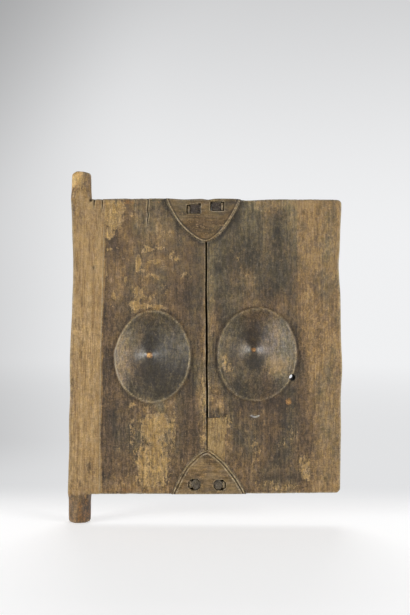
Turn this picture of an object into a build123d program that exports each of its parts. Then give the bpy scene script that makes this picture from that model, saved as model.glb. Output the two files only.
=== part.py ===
from build123d import *
import os

os.makedirs("parts", exist_ok=True)

# A granary door leaf: two planks side by side, joined by a pegged cleat at each end of the seam.
# It hangs on two pintles carved from the hinge-side plank.
# Frame, in millimetres: the origin is the foot of the lower pintle, +Z runs up the pivot axis,
# +X runs from the pivot towards the free edge, and the carved front faces -Y.

# ---- driving dimensions -------------------------------------------------------------------------

# the leaf
leaf_height = 477.3
leaf_reach = 422.0            # pivot axis to the free edge
plank_thickness = 34.0
foot_rise = 3.3               # how much higher the leaf's foot is at the free edge
free_edge_belly = 2.4         # the free edge swells by this below its middle
free_edge_waist = 3.8         # and draws in by this above it
free_top_round = 6.0
free_foot_round = 9.0

# the hinge stile, a thicker band along the pivot
stile_thickness = 38.0
stile_edge_top = 41.0
stile_edge_foot = 35.5
hinge_edge_foot = 18.1        # overhang of the hinge edge past the pivot axis, at four heights
hinge_edge_belly = 15.6
hinge_edge_waist = 12.0
hinge_edge_top = 15.9

# pintles
lower_pintle_radius = 18.2
lower_pintle_length = 47.7
lower_pintle_round = 4.0
root_flare = 0.6              # both pintles swell by this where they meet the leaf
root_flare_length = 8.0
upper_pintle_radius = 16.0
upper_pintle_length = 44.7
upper_pintle_round = 5.0
pintle_core_inset = 3.0       # a thinner core runs on into the stile
pintle_core_length = 6.0

# the seam between the planks
seam_foot = 208.2             # distance from the pivot axis, at the foot
seam_lean = 6.0               # the seam comes this much nearer to the axis at the top
seam_gap = 3.0
seam_gap_depth = 20.0         # behind this the planks' edges touch

# the carved breasts: the middle of each oval, measured from the seam line and from the leaf's foot
breast_rise = 30.5            # from the rim to the point that the flanks run to
breast_rim_step = 3.5
left_breast_from_seam = 88.1
left_breast_height = 223.0
left_breast_half_width = 61.8
left_breast_half_depth = 74.4
left_tip_shift = 2.5          # the tip stands off the middle, towards the hinge
left_tip_lift = 3.3
left_tip_radius = 4.2
right_breast_from_seam = 81.2
right_breast_height = 227.0
right_breast_half_width = 63.8
right_breast_half_depth = 75.4
right_tip_shift = 7.6
right_tip_lift = 8.5
right_tip_radius = 2.8
tip_height = 2.0
tip_round = 1.2
rim_share = 0.985             # the flank starts just inside the rim
tip_steepness = 1.75          # slope of the flank at its two ends, 1 for a straight cone
rim_steepness = 1.3

# the cord hole, on the rim of the free-side breast, measured from the middle of its oval
cord_hole_radius = 5.3
cord_hole_reach = 56.9
cord_hole_drop = 37.1

# cleats
housing_depth = 13.0
joint_gap = 0.25              # side clearance of let-in pieces
top_cleat_left = 61.0         # half widths at the edge of the leaf, measured from the seam
top_cleat_right = 56.0
top_cleat_height = 69.0
top_cleat_left_bulge = 13.7
top_cleat_right_bulge = 9.5
top_cleat_proud = 4.0
bottom_cleat_left = 58.5
bottom_cleat_right = 62.0
bottom_cleat_height = 73.0
bottom_cleat_left_bulge = 9.8
bottom_cleat_right_bulge = 6.3
bottom_cleat_proud = 2.5
cleat_bevel = 1.5

# draw pegs: how far the inner side stands from the seam, how far the centre stands from the edge
# of the leaf, the section, and the bevel of the peg's corners
top_peg_inset_left = 8.0
top_peg_inset_right = 9.0
top_peg_drop_left = 16.4
top_peg_drop_right = 12.6
top_peg_width_left = 18.0
top_peg_width_right = 16.0
top_peg_height_left = 16.0
top_peg_height_right = 14.4
top_peg_bevel = 0.8
bottom_peg_inset_left = 11.7
bottom_peg_inset_right = 9.4
bottom_peg_rise_left = 16.9
bottom_peg_rise_right = 15.0
bottom_peg_width_left = 14.6
bottom_peg_width_right = 14.8
bottom_peg_height_left = 17.0
bottom_peg_height_right = 15.8
bottom_peg_bevel = 3.2
peg_tail = 3.0                # the pegs stand out of the back by this
peg_sink = 1.0                # and lie this far below the cleat's face
peg_slack = 0.2               # above and below the peg

# the wedge beside each peg
wedge_length = 30.0
wedge_thick_end = 3.2
wedge_thin_end = 1.2
mouth_gap = 2.0               # the mortise is worn wider than the wedge at its mouth
mouth_depth = 8.0

# the strip let into the seam edge of the right plank, and its pin
patch_width = 27.5
patch_rise = 53.5             # the strip's top stands above the bottom cleat's tip by this
patch_tail = 31.0             # and its blank ran this far below the tip, before it was scribed
patch_depth = 14.0
patch_reach = 0.8             # the strip stops this far from the seam line
pin_size = 3.8
pin_length = 18.0
pin_inset = 16.2              # the pin stands this far from the strip's seam edge

# ---- heights and faces that follow from them ----------------------------------------------------

leaf_foot = lower_pintle_length
leaf_top = leaf_foot + leaf_height
front = -plank_thickness / 2
back = plank_thickness / 2
seam_top = seam_foot - seam_lean
belly_share = 0.42            # heights of the belly and the waist of the leaf's edges
waist_share = 0.77


def seam_at(z):
    """Distance of the seam line from the pivot axis at height z."""
    return seam_foot - seam_lean * (z - leaf_foot) / leaf_height


def foot_at(x):
    """Height of the leaf's foot at distance x from the pivot axis."""
    return leaf_foot + foot_rise * max(0.0, x - stile_edge_foot) / (leaf_reach - stile_edge_foot)


def level(share):
    """Height at a share of the leaf's height."""
    return leaf_foot + share * leaf_height


def slab(outline, y_front, y_back):
    """An outline drawn on the face of the leaf, carried through from y_front to y_back."""
    return extrude(Plane.XZ.offset(-y_back) * outline, y_back - y_front)


def block(x_low, x_high, z_low, z_high, y_front, y_back):
    """A squared block between the given faces."""
    centre = ((x_low + x_high) / 2, (y_front + y_back) / 2, (z_low + z_high) / 2)
    return Pos(*centre) * Box(x_high - x_low, y_back - y_front, z_high - z_low)


# ---- outlines of the leaf -----------------------------------------------------------------------

def left_outline():
    """Hinge-side plank, seen from the front."""
    hinge_foot = (-hinge_edge_foot, leaf_foot)
    hinge_top = (-hinge_edge_top, leaf_top)
    belly = (-hinge_edge_belly, level(belly_share))
    waist = (-hinge_edge_waist, level(waist_share))
    seam_low = (seam_foot, foot_at(seam_foot))
    seam_high = (seam_top, leaf_top)
    straight = Polyline(hinge_foot, (stile_edge_foot, leaf_foot), seam_low, seam_high, hinge_top)
    edge = Spline(hinge_top, waist, belly, hinge_foot, tangents=[(0, -1), (0, -1)])
    return make_face([*straight.edges(), edge])


def right_outline():
    """Free-side plank, seen from the front."""
    seam_low = (seam_foot, foot_at(seam_foot))
    seam_high = (seam_top, leaf_top)
    free_foot = (leaf_reach, foot_at(leaf_reach))
    belly = (leaf_reach + free_edge_belly, level(belly_share))
    waist = (leaf_reach - free_edge_waist, level(waist_share))
    free_top = (leaf_reach, leaf_top)
    straight = Polyline(free_top, seam_high, seam_low, free_foot)
    edge = Spline(free_foot, belly, waist, free_top, tangents=[(0, 1), (0, 1)])
    return make_face([*straight.edges(), edge])


def stile_outline():
    """The thicker band along the hinge edge."""
    reach = leaf_reach
    band = Polygon(
        (-reach, leaf_foot),
        (stile_edge_foot, leaf_foot),
        (stile_edge_top, leaf_top),
        (-reach, leaf_top),
        align=None,
    )
    return left_outline() & band


def seam_slot():
    """The open part of the seam, cut from the front."""
    half = seam_gap / 2
    over = seam_gap
    outline = Polygon(
        (seam_foot - half, leaf_foot - over),
        (seam_foot + half, leaf_foot - over),
        (seam_top + half, leaf_top + over),
        (seam_top - half, leaf_top + over),
        align=None,
    )
    return slab(outline, front - over, front + seam_gap_depth)


# ---- cleats -------------------------------------------------------------------------------------

def top_cleat_outline():
    """A tongue that hangs from the top of the leaf over the seam."""
    tip_z = leaf_top - top_cleat_height
    tip = (seam_at(tip_z), tip_z)
    left = (seam_top - top_cleat_left, leaf_top)
    right = (seam_top + top_cleat_right, leaf_top)
    return make_face([
        SagittaArc(left, tip, -top_cleat_left_bulge),
        SagittaArc(tip, right, -top_cleat_right_bulge),
        Line(right, left),
    ])


def bottom_cleat_outline():
    """A lancet that stands on the foot of the leaf over the seam."""
    tip_z = leaf_foot + bottom_cleat_height
    tip = (seam_at(tip_z), tip_z)
    left_x = seam_foot - bottom_cleat_left
    right_x = seam_foot + bottom_cleat_right
    left = (left_x, foot_at(left_x))
    right = (right_x, foot_at(right_x))
    return make_face([
        SagittaArc(right, tip, -bottom_cleat_right_bulge),
        SagittaArc(tip, left, -bottom_cleat_left_bulge),
        Line(left, right),
    ])


def cleat(outline, proud):
    """A cleat let into the planks, standing proud of them, with a bevelled face."""
    blank = slab(outline, front - proud, front + housing_depth)
    face_edges = blank.faces().sort_by(Axis.Y)[0].edges()
    return chamfer(face_edges, cleat_bevel)


def housing(outline, proud):
    """The pocket that a cleat lies in."""
    return slab(offset(outline, joint_gap), front - proud, front + housing_depth)


# ---- draw pegs and wedges -----------------------------------------------------------------------

class DrawPeg:
    """One peg with its wedge and the mortise both are driven into."""

    def __init__(self, name, side, inset, centre_z, width, height, bevel, cleat_proud):
        self.name = name
        self.side = side
        self.inner = seam_at(centre_z) + side * inset
        self.outer = self.inner + side * width
        self.low = centre_z - height / 2
        self.high = centre_z + height / 2
        self.bevel = bevel
        self.mouth = front - cleat_proud
        self.face = self.mouth + peg_sink

    def bar(self, y_front, y_back, slack):
        """The peg's section, eased above and below by slack."""
        x_low, x_high = sorted((self.inner, self.outer))
        bar = block(x_low, x_high, self.low - slack, self.high + slack, y_front, y_back)
        return chamfer(bar.edges().filter_by(Axis.Y), self.bevel)

    def peg(self):
        return self.bar(self.face, back + peg_tail, 0.0)

    def wedge(self, slack=0.0):
        """A slip of wood that thins towards the back, against the peg's outer side."""
        low = self.low + self.bevel - slack
        high = self.high - self.bevel + slack
        thick = self.outer + self.side * wedge_thick_end
        thin = self.outer + self.side * wedge_thin_end
        end = self.face + wedge_length
        outline = Polygon(
            (self.outer, self.face), (thick, self.face), (thin, end), (self.outer, end), align=None
        )
        return Pos(0, 0, low) * extrude(outline, high - low, dir=(0, 0, 1))

    def mortise(self):
        """The hole through cleat and plank, with its mouth worn wider than the wedge."""
        hole = self.bar(self.mouth - peg_tail, back + 2 * peg_tail, peg_slack)
        worn = self.outer + self.side * (wedge_thick_end + mouth_gap)
        x_low, x_high = sorted((self.outer, worn))
        low = self.low + self.bevel - peg_slack
        high = self.high - self.bevel + peg_slack
        mouth = block(x_low, x_high, low, high, self.mouth - peg_tail, self.mouth + mouth_depth)
        return hole + self.wedge(peg_slack) + mouth


def draw_pegs():
    """The two pegs of each cleat, one in each plank."""
    top_left_z = leaf_top - top_peg_drop_left
    top_right_z = leaf_top - top_peg_drop_right
    bottom_left_z = leaf_foot + bottom_peg_rise_left
    bottom_right_z = foot_at(seam_foot) + bottom_peg_rise_right
    return [
        DrawPeg("top_left", -1, top_peg_inset_left, top_left_z, top_peg_width_left,
                top_peg_height_left, top_peg_bevel, top_cleat_proud),
        DrawPeg("top_right", 1, top_peg_inset_right, top_right_z, top_peg_width_right,
                top_peg_height_right, top_peg_bevel, top_cleat_proud),
        DrawPeg("bottom_left", -1, bottom_peg_inset_left, bottom_left_z, bottom_peg_width_left,
                bottom_peg_height_left, bottom_peg_bevel, bottom_cleat_proud),
        DrawPeg("bottom_right", 1, bottom_peg_inset_right, bottom_right_z, bottom_peg_width_right,
                bottom_peg_height_right, bottom_peg_bevel, bottom_cleat_proud),
    ]


# ---- pintles ------------------------------------------------------------------------------------

def pintle(radius, length, end_round):
    """A round pivot standing on its end: z = 0 is the free end and z = length its root."""
    straight = length - root_flare_length
    core = radius - pintle_core_inset
    profile = make_face([
        Line((0, 0), (radius - end_round, 0)),
        CenterArc((radius - end_round, end_round), end_round, -90, 90),
        *Polyline(
            (radius, end_round),
            (radius, straight),
            (radius + root_flare, length),
            (core, length),
            (core, length + pintle_core_length),
            (0, length + pintle_core_length),
            (0, 0),
        ).edges(),
    ])
    return revolve(Plane.XZ * profile, Axis.Z)


# ---- breasts ------------------------------------------------------------------------------------

def flank_height(share):
    """Height of the flank above the rim, at a share of the way from the tip to the rim."""
    cubic = tip_steepness + rim_steepness - 2
    square = 2 * tip_steepness + rim_steepness - 3
    return breast_rise * (1 - tip_steepness * share + square * share**2 - cubic * share**3)


def breast(middle_x, middle_z, half_width, half_depth, shift, lift, tip_radius):
    """An oval rim with a cone on it that leans to its tip, and a small button at the tip."""

    def at(share, height):
        """The plane of one section, at a share of the way from the tip to the rim."""
        x = middle_x - shift * (1 - share)
        z = middle_z + lift * (1 - share)
        return Plane(origin=(x, front - height, z), x_dir=(1, 0, 0), z_dir=(0, -1, 0))

    def section(share, height):
        return at(share, height) * Ellipse(half_width * share, half_depth * share)

    rim = extrude(section(1.0, -breast_rim_step), 2 * breast_rim_step)
    shares = [rim_share, 0.85, 0.7, 0.5, 0.3, 0.15, tip_radius / half_width]
    base = breast_rim_step - flank_height(rim_share)
    flank = loft([section(share, base + flank_height(share)) for share in shares])
    button = extrude(at(0.0, base + flank_height(shares[-1])) * Circle(tip_radius), tip_height)
    button = fillet(button.edges().group_by(Axis.Y)[0], tip_round)
    return rim + flank + button


# ---- the pieces ---------------------------------------------------------------------------------

pegs = draw_pegs()
top_outline = top_cleat_outline()
bottom_outline = bottom_cleat_outline()
housings = [housing(top_outline, top_cleat_proud), housing(bottom_outline, bottom_cleat_proud)]
mortises = [peg.mortise() for peg in pegs]
cleat_tip = leaf_foot + bottom_cleat_height
patch_top = cleat_tip + patch_rise
patch_foot = cleat_tip - patch_tail
patch_inner = seam_at(patch_top) + patch_reach
patch_outer = patch_inner + patch_width
pin_low_x = patch_inner + pin_inset
pin_low_z = patch_top - pin_size / 2
pin = block(pin_low_x, pin_low_x + pin_size, pin_low_z, pin_low_z + pin_size,
            front, front + pin_length)


def left_plank():
    """The hinge-side plank with its stile, pintles and breast, all one piece of wood."""
    half_stile = stile_thickness / 2
    plank = slab(left_outline(), front, back) + slab(stile_outline(), -half_stile, half_stile)
    lower = pintle(lower_pintle_radius, lower_pintle_length, lower_pintle_round)
    upper = pintle(upper_pintle_radius, upper_pintle_length, upper_pintle_round)
    plank += lower
    plank += Pos(0, 0, leaf_top + upper_pintle_length) * Rot(180, 0, 0) * upper
    middle_z = leaf_foot + left_breast_height
    plank += breast(seam_at(middle_z) - left_breast_from_seam, middle_z, left_breast_half_width,
                    left_breast_half_depth, left_tip_shift, left_tip_lift, left_tip_radius)
    for cut in [seam_slot(), *housings, *mortises]:
        plank -= cut
    return plank


def patch_recess():
    """The rebate in the right plank's seam edge that the strip is let into."""
    return block(
        seam_at(patch_top) - seam_gap, patch_outer + joint_gap,
        patch_foot, patch_top + joint_gap,
        front - breast_rim_step, front + patch_depth,
    )


def right_plank():
    """The free-side plank with its breast and cord hole."""
    plank = slab(right_outline(), front, back)
    free_foot, free_top = plank.edges().filter_by(Axis.Y).sort_by(Axis.X)[-2:].sort_by(Axis.Z)
    plank = fillet(free_top, free_top_round)
    free_foot = plank.edges().filter_by(Axis.Y).filter_by_position(
        Axis.X, leaf_reach - seam_gap, leaf_reach + free_edge_belly
    ).sort_by(Axis.Z)[0]
    plank = fillet(free_foot, free_foot_round)
    middle_z = leaf_foot + right_breast_height
    middle_x = seam_at(middle_z) + right_breast_from_seam
    plank += breast(middle_x, middle_z, right_breast_half_width, right_breast_half_depth,
                    right_tip_shift, right_tip_lift, right_tip_radius)
    through = 2 * plank_thickness
    hole_centre = Pos(middle_x + cord_hole_reach, middle_z - cord_hole_drop)
    bore = Plane.XZ.offset(-through) * hole_centre * Circle(cord_hole_radius)
    plank -= extrude(bore, 2 * through)
    for cut in [seam_slot(), *housings, *mortises, patch_recess(), pin]:
        plank -= cut
    return plank


def edge_patch():
    """The strip of paler wood, scribed to the bottom cleat's housing."""
    strip = block(patch_inner, patch_outer, patch_foot, patch_top, front, front + patch_depth)
    return strip - housings[1] - pin


def pegged(body):
    """A cleat with the mortises of its pegs cut through."""
    for mortise in mortises:
        body -= mortise
    return body


pieces = {
    "left_plank": left_plank(),
    "right_plank": right_plank(),
    "top_cleat": pegged(cleat(top_outline, top_cleat_proud)),
    "bottom_cleat": pegged(cleat(bottom_outline, bottom_cleat_proud)),
    "edge_patch": edge_patch(),
    "patch_pin": pin,
}
for peg in pegs:
    pieces[f"{peg.name}_peg"] = peg.peg()
    pieces[f"{peg.name}_wedge"] = peg.wedge()

for name, piece in pieces.items():
    export_step(piece, f"parts/{name}.step")
    print(f"{name}: {piece.volume / 1000:.2f} cm3, {len(piece.solids())} solid")
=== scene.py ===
# %% [markdown]
# # A Dogon granary door leaf
# The leaf is two planks of old hardwood, hewn with an adze and worn by decades of hands and weather.
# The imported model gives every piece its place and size. This lesson gives each piece its real skin.
# Everything here is in the model's own frame: +Z runs up the pivot axis, +X towards the free edge,
# and the carved front faces -Y. Sizes are written in millimetres, because that is how a carver would
# measure them, and turned into Blender's metres when a mesh is made.

# %% Load the frame
import functools
import math
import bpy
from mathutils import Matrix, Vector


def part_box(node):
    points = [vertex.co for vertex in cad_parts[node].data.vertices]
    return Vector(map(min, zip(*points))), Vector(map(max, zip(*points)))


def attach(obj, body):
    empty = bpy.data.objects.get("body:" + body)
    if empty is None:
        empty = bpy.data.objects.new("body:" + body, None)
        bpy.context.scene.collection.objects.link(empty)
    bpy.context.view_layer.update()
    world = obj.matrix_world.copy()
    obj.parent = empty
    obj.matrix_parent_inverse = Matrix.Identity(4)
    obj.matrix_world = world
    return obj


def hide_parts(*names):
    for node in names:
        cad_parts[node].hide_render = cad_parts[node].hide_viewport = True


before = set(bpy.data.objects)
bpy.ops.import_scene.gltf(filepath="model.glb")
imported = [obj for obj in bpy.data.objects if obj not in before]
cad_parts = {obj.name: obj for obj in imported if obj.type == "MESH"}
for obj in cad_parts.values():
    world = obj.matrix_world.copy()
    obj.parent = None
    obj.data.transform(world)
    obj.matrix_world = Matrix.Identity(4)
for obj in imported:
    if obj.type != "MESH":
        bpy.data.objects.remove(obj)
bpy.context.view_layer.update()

from types import SimpleNamespace

import bpy
import numpy as np
from mathutils import Vector

MM = 0.001

# %% [markdown]
# ## Where the eye stands
# A catalogue picture of a flat thing is taken straight on, from about the middle of its height, with
# a normal lens, so that both edges stay upright. A nearer, wider lens would swell the breasts. The
# leaf leans by a third of a degree on its stand. The model can't lean, so the camera rolls instead.

# %% Camera
LENS_MM = 50.0
SENSOR_MM = 36.0
PICTURE_LINES = 615
MM_PER_LINE = 1.61  # on the planks' face
LEAF_FRONT = -17.0
eye_x, eye_z = 202.1, 349.5
eye_distance = MM_PER_LINE * PICTURE_LINES * LENS_MM / SENSOR_MM
lean = math.radians(0.3085)

lens = bpy.data.cameras.new("lens")
lens.lens, lens.sensor_width, lens.sensor_fit = LENS_MM, SENSOR_MM, "AUTO"
camera = bpy.data.objects.new("camera", lens)
bpy.context.scene.collection.objects.link(camera)
camera.location = Vector((eye_x, LEAF_FRONT - eye_distance, eye_z)) * MM
camera.rotation_mode = "QUATERNION"
level = Vector((0, 1, 0)).to_track_quat("-Z", "Y")
roll = Vector((0, 0, 1)).rotation_difference(Vector((math.sin(lean), 0, math.cos(lean))))
camera.rotation_quaternion = roll.inverted() @ level
bpy.context.scene.camera = camera
print("camera stands", round(eye_distance), "mm in front of the planks")

# %% [markdown]
# ## Two soft boxes
# Carving shows by its shadows. One lamp in front would flatten it, so two large soft boxes stand left
# and right and rake the surface. They leave a bright flank on each side of a breast, a darker one
# above and below it, and a thin shadow along both borders of the raised cleat. A weak lamp behind
# keeps the back readable when somebody walks around the door.

# %% Lights
scene = bpy.context.scene
scene.view_settings.view_transform = "Standard"


def soft_box(name, place, aim, size, watts):
    """A rectangular lamp that looks from place to aim, all in metres."""
    lamp = bpy.data.lights.new(name, "AREA")
    lamp.shape = "RECTANGLE"
    lamp.size, lamp.size_y = size
    lamp.energy = watts
    stand = bpy.data.objects.new(name, lamp)
    scene.collection.objects.link(stand)
    stand.location = place
    stand.rotation_mode = "QUATERNION"
    stand.rotation_quaternion = (Vector(aim) - Vector(place)).to_track_quat("-Z", "Y")
    return stand


leaf_middle = (0.2, 0.0, 0.3)
SIDE_WATTS = 23.0
soft_box("left_box", (-1.45, -0.95, 0.42), leaf_middle, (0.9, 0.8), SIDE_WATTS)
soft_box("right_box", (1.85, -0.95, 0.42), leaf_middle, (0.9, 0.8), SIDE_WATTS)
soft_box("back_box", (0.2, 1.5, 1.9), leaf_middle, (1.4, 1.0), 16.0)
print("two side boxes of", SIDE_WATTS, "W")

# %% [markdown]
# ## Short names for shader nodes
# Colours in Blender are mixed by small nodes. Writing each one out would bury the recipe, so this
# class gives the few kinds that the room, the floor and the wood need a short name each.


# %% Shader helpers
def paint(red, green, blue):
    """A colour as a painter reads it, 0 to 255, turned into the linear light that Blender mixes."""
    def linear(part):
        part /= 255
        return part / 12.92 if part <= 0.04045 else ((part + 0.055) / 1.055) ** 2.4
    return (linear(red), linear(green), linear(blue), 1.0)


class Recipe:
    """Short names for the shader nodes that the finishes are cooked from."""

    def __init__(self, owner):
        owner.use_nodes = True
        self.tree = owner.node_tree

    def add(self, kind):
        return self.tree.nodes.new("ShaderNode" + kind)

    def plug(self, socket, value):
        """Links a socket, or sets it when the value is a plain number or colour."""
        if isinstance(value, bpy.types.NodeSocket):
            self.tree.links.new(value, socket)
        else:
            socket.default_value = value

    def made(self, kind, *values, **settings):
        """The outputs of a new node with these settings, its first inputs plugged."""
        node = self.add(kind)
        for name, setting in settings.items():
            setattr(node, name, setting)
        for socket, value in zip(node.inputs, values):
            self.plug(socket, value)
        return node.outputs

    def coordinates(self, kind="Object"):
        return self.made("TexCoord")[kind]

    def vector(self, operation, first, second):
        return self.made("VectorMath", first, second, operation=operation)[0]

    def length(self, vector):
        return self.made("VectorMath", vector, operation="LENGTH")["Value"]

    def parts(self, vector):
        return self.made("SeparateXYZ", vector)

    def noise(self, vector, *shape):
        """Noise of the given scale, detail, roughness and distortion."""
        node = self.add("TexNoise")
        self.plug(node.inputs["Vector"], vector)
        for name, value in zip(("Scale", "Detail", "Roughness", "Distortion"), shape):
            node.inputs[name].default_value = value
        return node.outputs[0]

    def math(self, operation, first, second=0.0):
        return self.made("Math", first, second, operation=operation)[0]

    def product(self, *values):
        return functools.reduce(lambda total, value: self.math("MULTIPLY", total, value), values)

    def sum(self, *weighted):
        """value * weight, added up."""
        shares = [self.math("MULTIPLY", value, weight) for value, weight in weighted]
        return functools.reduce(lambda total, share: self.math("ADD", total, share), shares)

    def rest_of(self, value):
        return self.math("SUBTRACT", 1.0, value)

    def step(self, value, low, high, at_low=0.0, at_high=1.0):
        """A smooth step of value from low to high, giving at_low to at_high."""
        numbers = (value, low, high, at_low, at_high)
        return self.made("MapRange", *numbers, interpolation_type="SMOOTHSTEP")["Result"]

    def close_to(self, value, middle, half_width, strength=1.0):
        """The given strength where value is at the middle, falling to 0 at half_width from it."""
        away = self.math("ABSOLUTE", self.math("SUBTRACT", value, middle))
        return self.step(away, 0.0, half_width, strength, 0.0)

    def ramp(self, value, *stops):
        """Colours that melt into each other at the given (value, colour) stops."""
        node = self.add("ValToRGB")
        points = node.color_ramp.elements
        for n, (at, colour) in enumerate(stops):
            point = points[n] if n < 2 else points.new(at)
            point.position, point.color = at, colour
        self.plug(node.inputs[0], value)
        return node.outputs[0]

    def mix(self, factor, first, second, blend="MIX"):
        node = self.add("Mix")
        node.data_type, node.blend_type = "RGBA", blend
        for number, value in ((0, factor), (6, first), (7, second)):
            self.plug(node.inputs[number], value)
        return node.outputs[2]


print("recipe book ready")

# %% [markdown]
# ## A pale room
# The room is only a colour that the camera sees behind the leaf. It falls off upwards and to the left,
# where a paper backdrop would roll away from the lamps. Light Path keeps the two jobs apart: the rays
# that the eye sees get the backdrop, and all the others a faint even fill, so the backdrop adds no
# light to the wood.

# %% Room
HORIZON = (0.87, 0.875, 0.885, 1.0)
LEFT_SHADE = 0.65
FILL_STRENGTH = 0.16


def seen_ray(cook):
    """1 on rays from the camera, or that reach it by a mirror or through glass."""
    path = cook.add("LightPath").outputs
    straight = cook.math("ADD", path["Is Camera Ray"], path["Is Glossy Ray"])
    return cook.math("MINIMUM", cook.math("ADD", straight, path["Is Transmission Ray"]), 1.0)


def blend(cook, factor, first, second, end):
    """Blends two shaders into the surface of an output node of the kind end."""
    cook.plug(cook.add(end).inputs["Surface"], cook.made("MixShader", factor, first, second)[0])


room = bpy.data.worlds.new("room")
scene.world = room
cook = Recipe(room)
cook.tree.nodes.clear()
way = cook.parts(cook.coordinates("Generated"))
behind_eye = cook.step(way["Y"], 0.0, 0.6, 1.0, 0.0)
leftward = cook.math("MAXIMUM", cook.step(way["X"], -0.34, -0.06, LEFT_SHADE, 1.0), behind_eye)
upward = cook.step(way["Z"], 0.06, 0.56, 1.0, 0.55)
corner = cook.step(cook.math("SUBTRACT", way["X"], way["Z"]), -0.62, -0.32, 0.75, 1.0)
backdrop = cook.made("Background", HORIZON, cook.product(leftward, upward, corner))[0]
fill = cook.made("Background", (1.0, 0.98, 0.95, 1.0), FILL_STRENGTH)[0]
blend(cook, seen_ray(cook), fill, backdrop, "OutputWorld")
print("room made, with a fill of", FILL_STRENGTH)

# %% [markdown]
# ## The floor
# The floor is real, because the leaf stands in its own shadow: a wide disc of white paper. Near the
# leaf it is plain diffuse paper, with a little glow that only the eye sees, so that it looks white
# without stronger lamps. Far off it takes the room's colour, shaded to the left as the room is, so
# that no horizon line shows.

# %% Floor
FLOOR_REACH, FLOOR_SIDES = 60.0, 96
EYE_BEFORE_AXIS = 1.39
PAPER_GLOW = 0.5

turns = np.linspace(0, 2 * math.pi, FLOOR_SIDES, endpoint=False)
floor_mesh = bpy.data.meshes.new("floor")
floor_mesh.from_pydata(
    [(FLOOR_REACH * math.cos(turn), FLOOR_REACH * math.sin(turn), 0) for turn in turns], [],
    [tuple(range(FLOOR_SIDES))],
)
floor = bpy.data.objects.new("floor", floor_mesh)
scene.collection.objects.link(floor)

paper = bpy.data.materials.new("paper")
floor_mesh.materials.append(paper)
cook = Recipe(paper)
cook.tree.nodes.clear()
eye_ray = seen_ray(cook)
aside, depth, _ = cook.parts(cook.coordinates())
reach = cook.length(cook.coordinates())

# the far paper: the room's colour, dimmer to the left and a little dimmer just behind the leaf
before_eye = cook.math("MAXIMUM", cook.math("ADD", depth, EYE_BEFORE_AXIS), 0.8)
sideways = cook.math("DIVIDE", cook.math("SUBTRACT", aside, leaf_middle[0]), before_eye)
leftward = cook.step(sideways, -0.35, -0.06, LEFT_SHADE, 1.0)
leftward = cook.math("POWER", leftward, cook.step(depth, 0.25, 0.9, 0.35, 1.0))
leftward = cook.math("MAXIMUM", leftward, cook.step(depth, -1.2, -0.5, 1.0, 0.0))
dip = cook.math("MAXIMUM", cook.step(reach, 0.9, 4.5, 0.87, 1.0), cook.step(depth, -1.0, -0.5, 1.0, 0.0))
lifted = cook.math("POWER", cook.step(depth, -1.4, -0.7, 1.14, 1.0), cook.step(reach, 2.0, 9.0, 1.0, 0.0))
far_paper = cook.made("Emission", HORIZON, cook.product(leftward, dip, lifted))[0]

# the near paper: it takes the lamps' light and the leaf's shadow
diffuse = cook.made("BsdfDiffuse", (0.80, 0.805, 0.81, 1.0))[0]
glow = cook.made("Emission", (0.99, 0.99, 1.0, 1.0), cook.product(eye_ray, PAPER_GLOW))[0]
near_paper = cook.made("AddShader", diffuse, glow)[0]

far_off = cook.math("MAXIMUM", cook.step(reach, 1.0, 2.0), cook.step(depth, 0.03, 0.3))
blend(cook, cook.product(far_off, eye_ray), near_paper, far_paper, "OutputMaterial")
print("floor laid,", FLOOR_REACH, "m to its border")

# %% [markdown]
# ## Measuring and drawing in millimetres
# A hewn outline is never straight, yet it needs only a few measured points: a smooth curve through
# them gives the rest. `through` makes such a curve. `soft_noise` gives the small unplanned hills and
# hollows of handwork. It is seeded, so the same door comes out each time.


# %% Curves and handwork noise
def through(*points):
    """A smooth function of one number that passes through the given (number, value) points."""
    knots = np.array(sorted(points), float)
    at, value = knots[:, 0], knots[:, 1]
    slope = np.gradient(value, at)

    def curve(x):
        x = np.clip(x, at[0], at[-1])
        i = np.clip(np.searchsorted(at, x) - 1, 0, len(at) - 2)
        width = at[i + 1] - at[i]
        t = (x - at[i]) / width
        rise = value[i + 1] - value[i]
        bend = (slope[i] * width - rise) * (1 - t) - (slope[i + 1] * width - rise) * t
        return value[i] + rise * t + bend * t * (1 - t)

    return curve


def soft_noise(x, z, size_x, size_z, seed):
    """Smooth hills between -1 and 1, about size_x across and size_z up, in millimetres."""
    table = np.random.default_rng(seed).uniform(-1, 1, (256, 256))
    u, v = x / size_x + 31.7, z / size_z + 57.3
    i, j = np.floor(u).astype(int), np.floor(v).astype(int)
    a, b = u - i, v - j
    a, b = a * a * (3 - 2 * a), b * b * (3 - 2 * b)
    near = table[i % 256, j % 256] * (1 - a) + table[(i + 1) % 256, j % 256] * a
    far = table[i % 256, (j + 1) % 256] * (1 - a) + table[(i + 1) % 256, (j + 1) % 256] * a
    return near * (1 - b) + far * b


def line_noise(at, size, seed):
    """Smooth hills between -1 and 1 along a line."""
    return soft_noise(at, 0 * at, size, 1, seed)


def rough_noise(x, z, size_x, size_z, seed, octaves=3):
    """Hills upon hills: each octave is half as wide and about half as high."""
    total = sum(0.55**n * soft_noise(x, z, size_x / 2**n, size_z / 2**n, seed + n) for n in range(octaves))
    return total / sum(0.55**n for n in range(octaves))


def ease(value, low, high):
    """0 below low, 1 above high, and a smooth step between."""
    t = np.clip((value - low) / (high - low), 0, 1)
    return t * t * (3 - 2 * t)


def bell(distance, width):
    """1 where the distance is 0, fading smoothly to both sides."""
    return np.exp(-((distance / width) ** 2))


def spot(x, z, centre_x, centre_z, half_x, half_z, soft=0.5):
    """1 in the middle of an oval place, falling to 0 at its border."""
    reach = np.hypot((x - centre_x) / half_x, (z - centre_z) / half_z)
    return 1 - ease(reach, 1 - soft, 1 + soft)


def strongest(*values):
    """The largest of several values at each point."""
    return functools.reduce(np.maximum, values)


print("noise is seeded, its first value here:", round(float(soft_noise(0.0, 0.0, 1, 1, 5)), 3))

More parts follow.
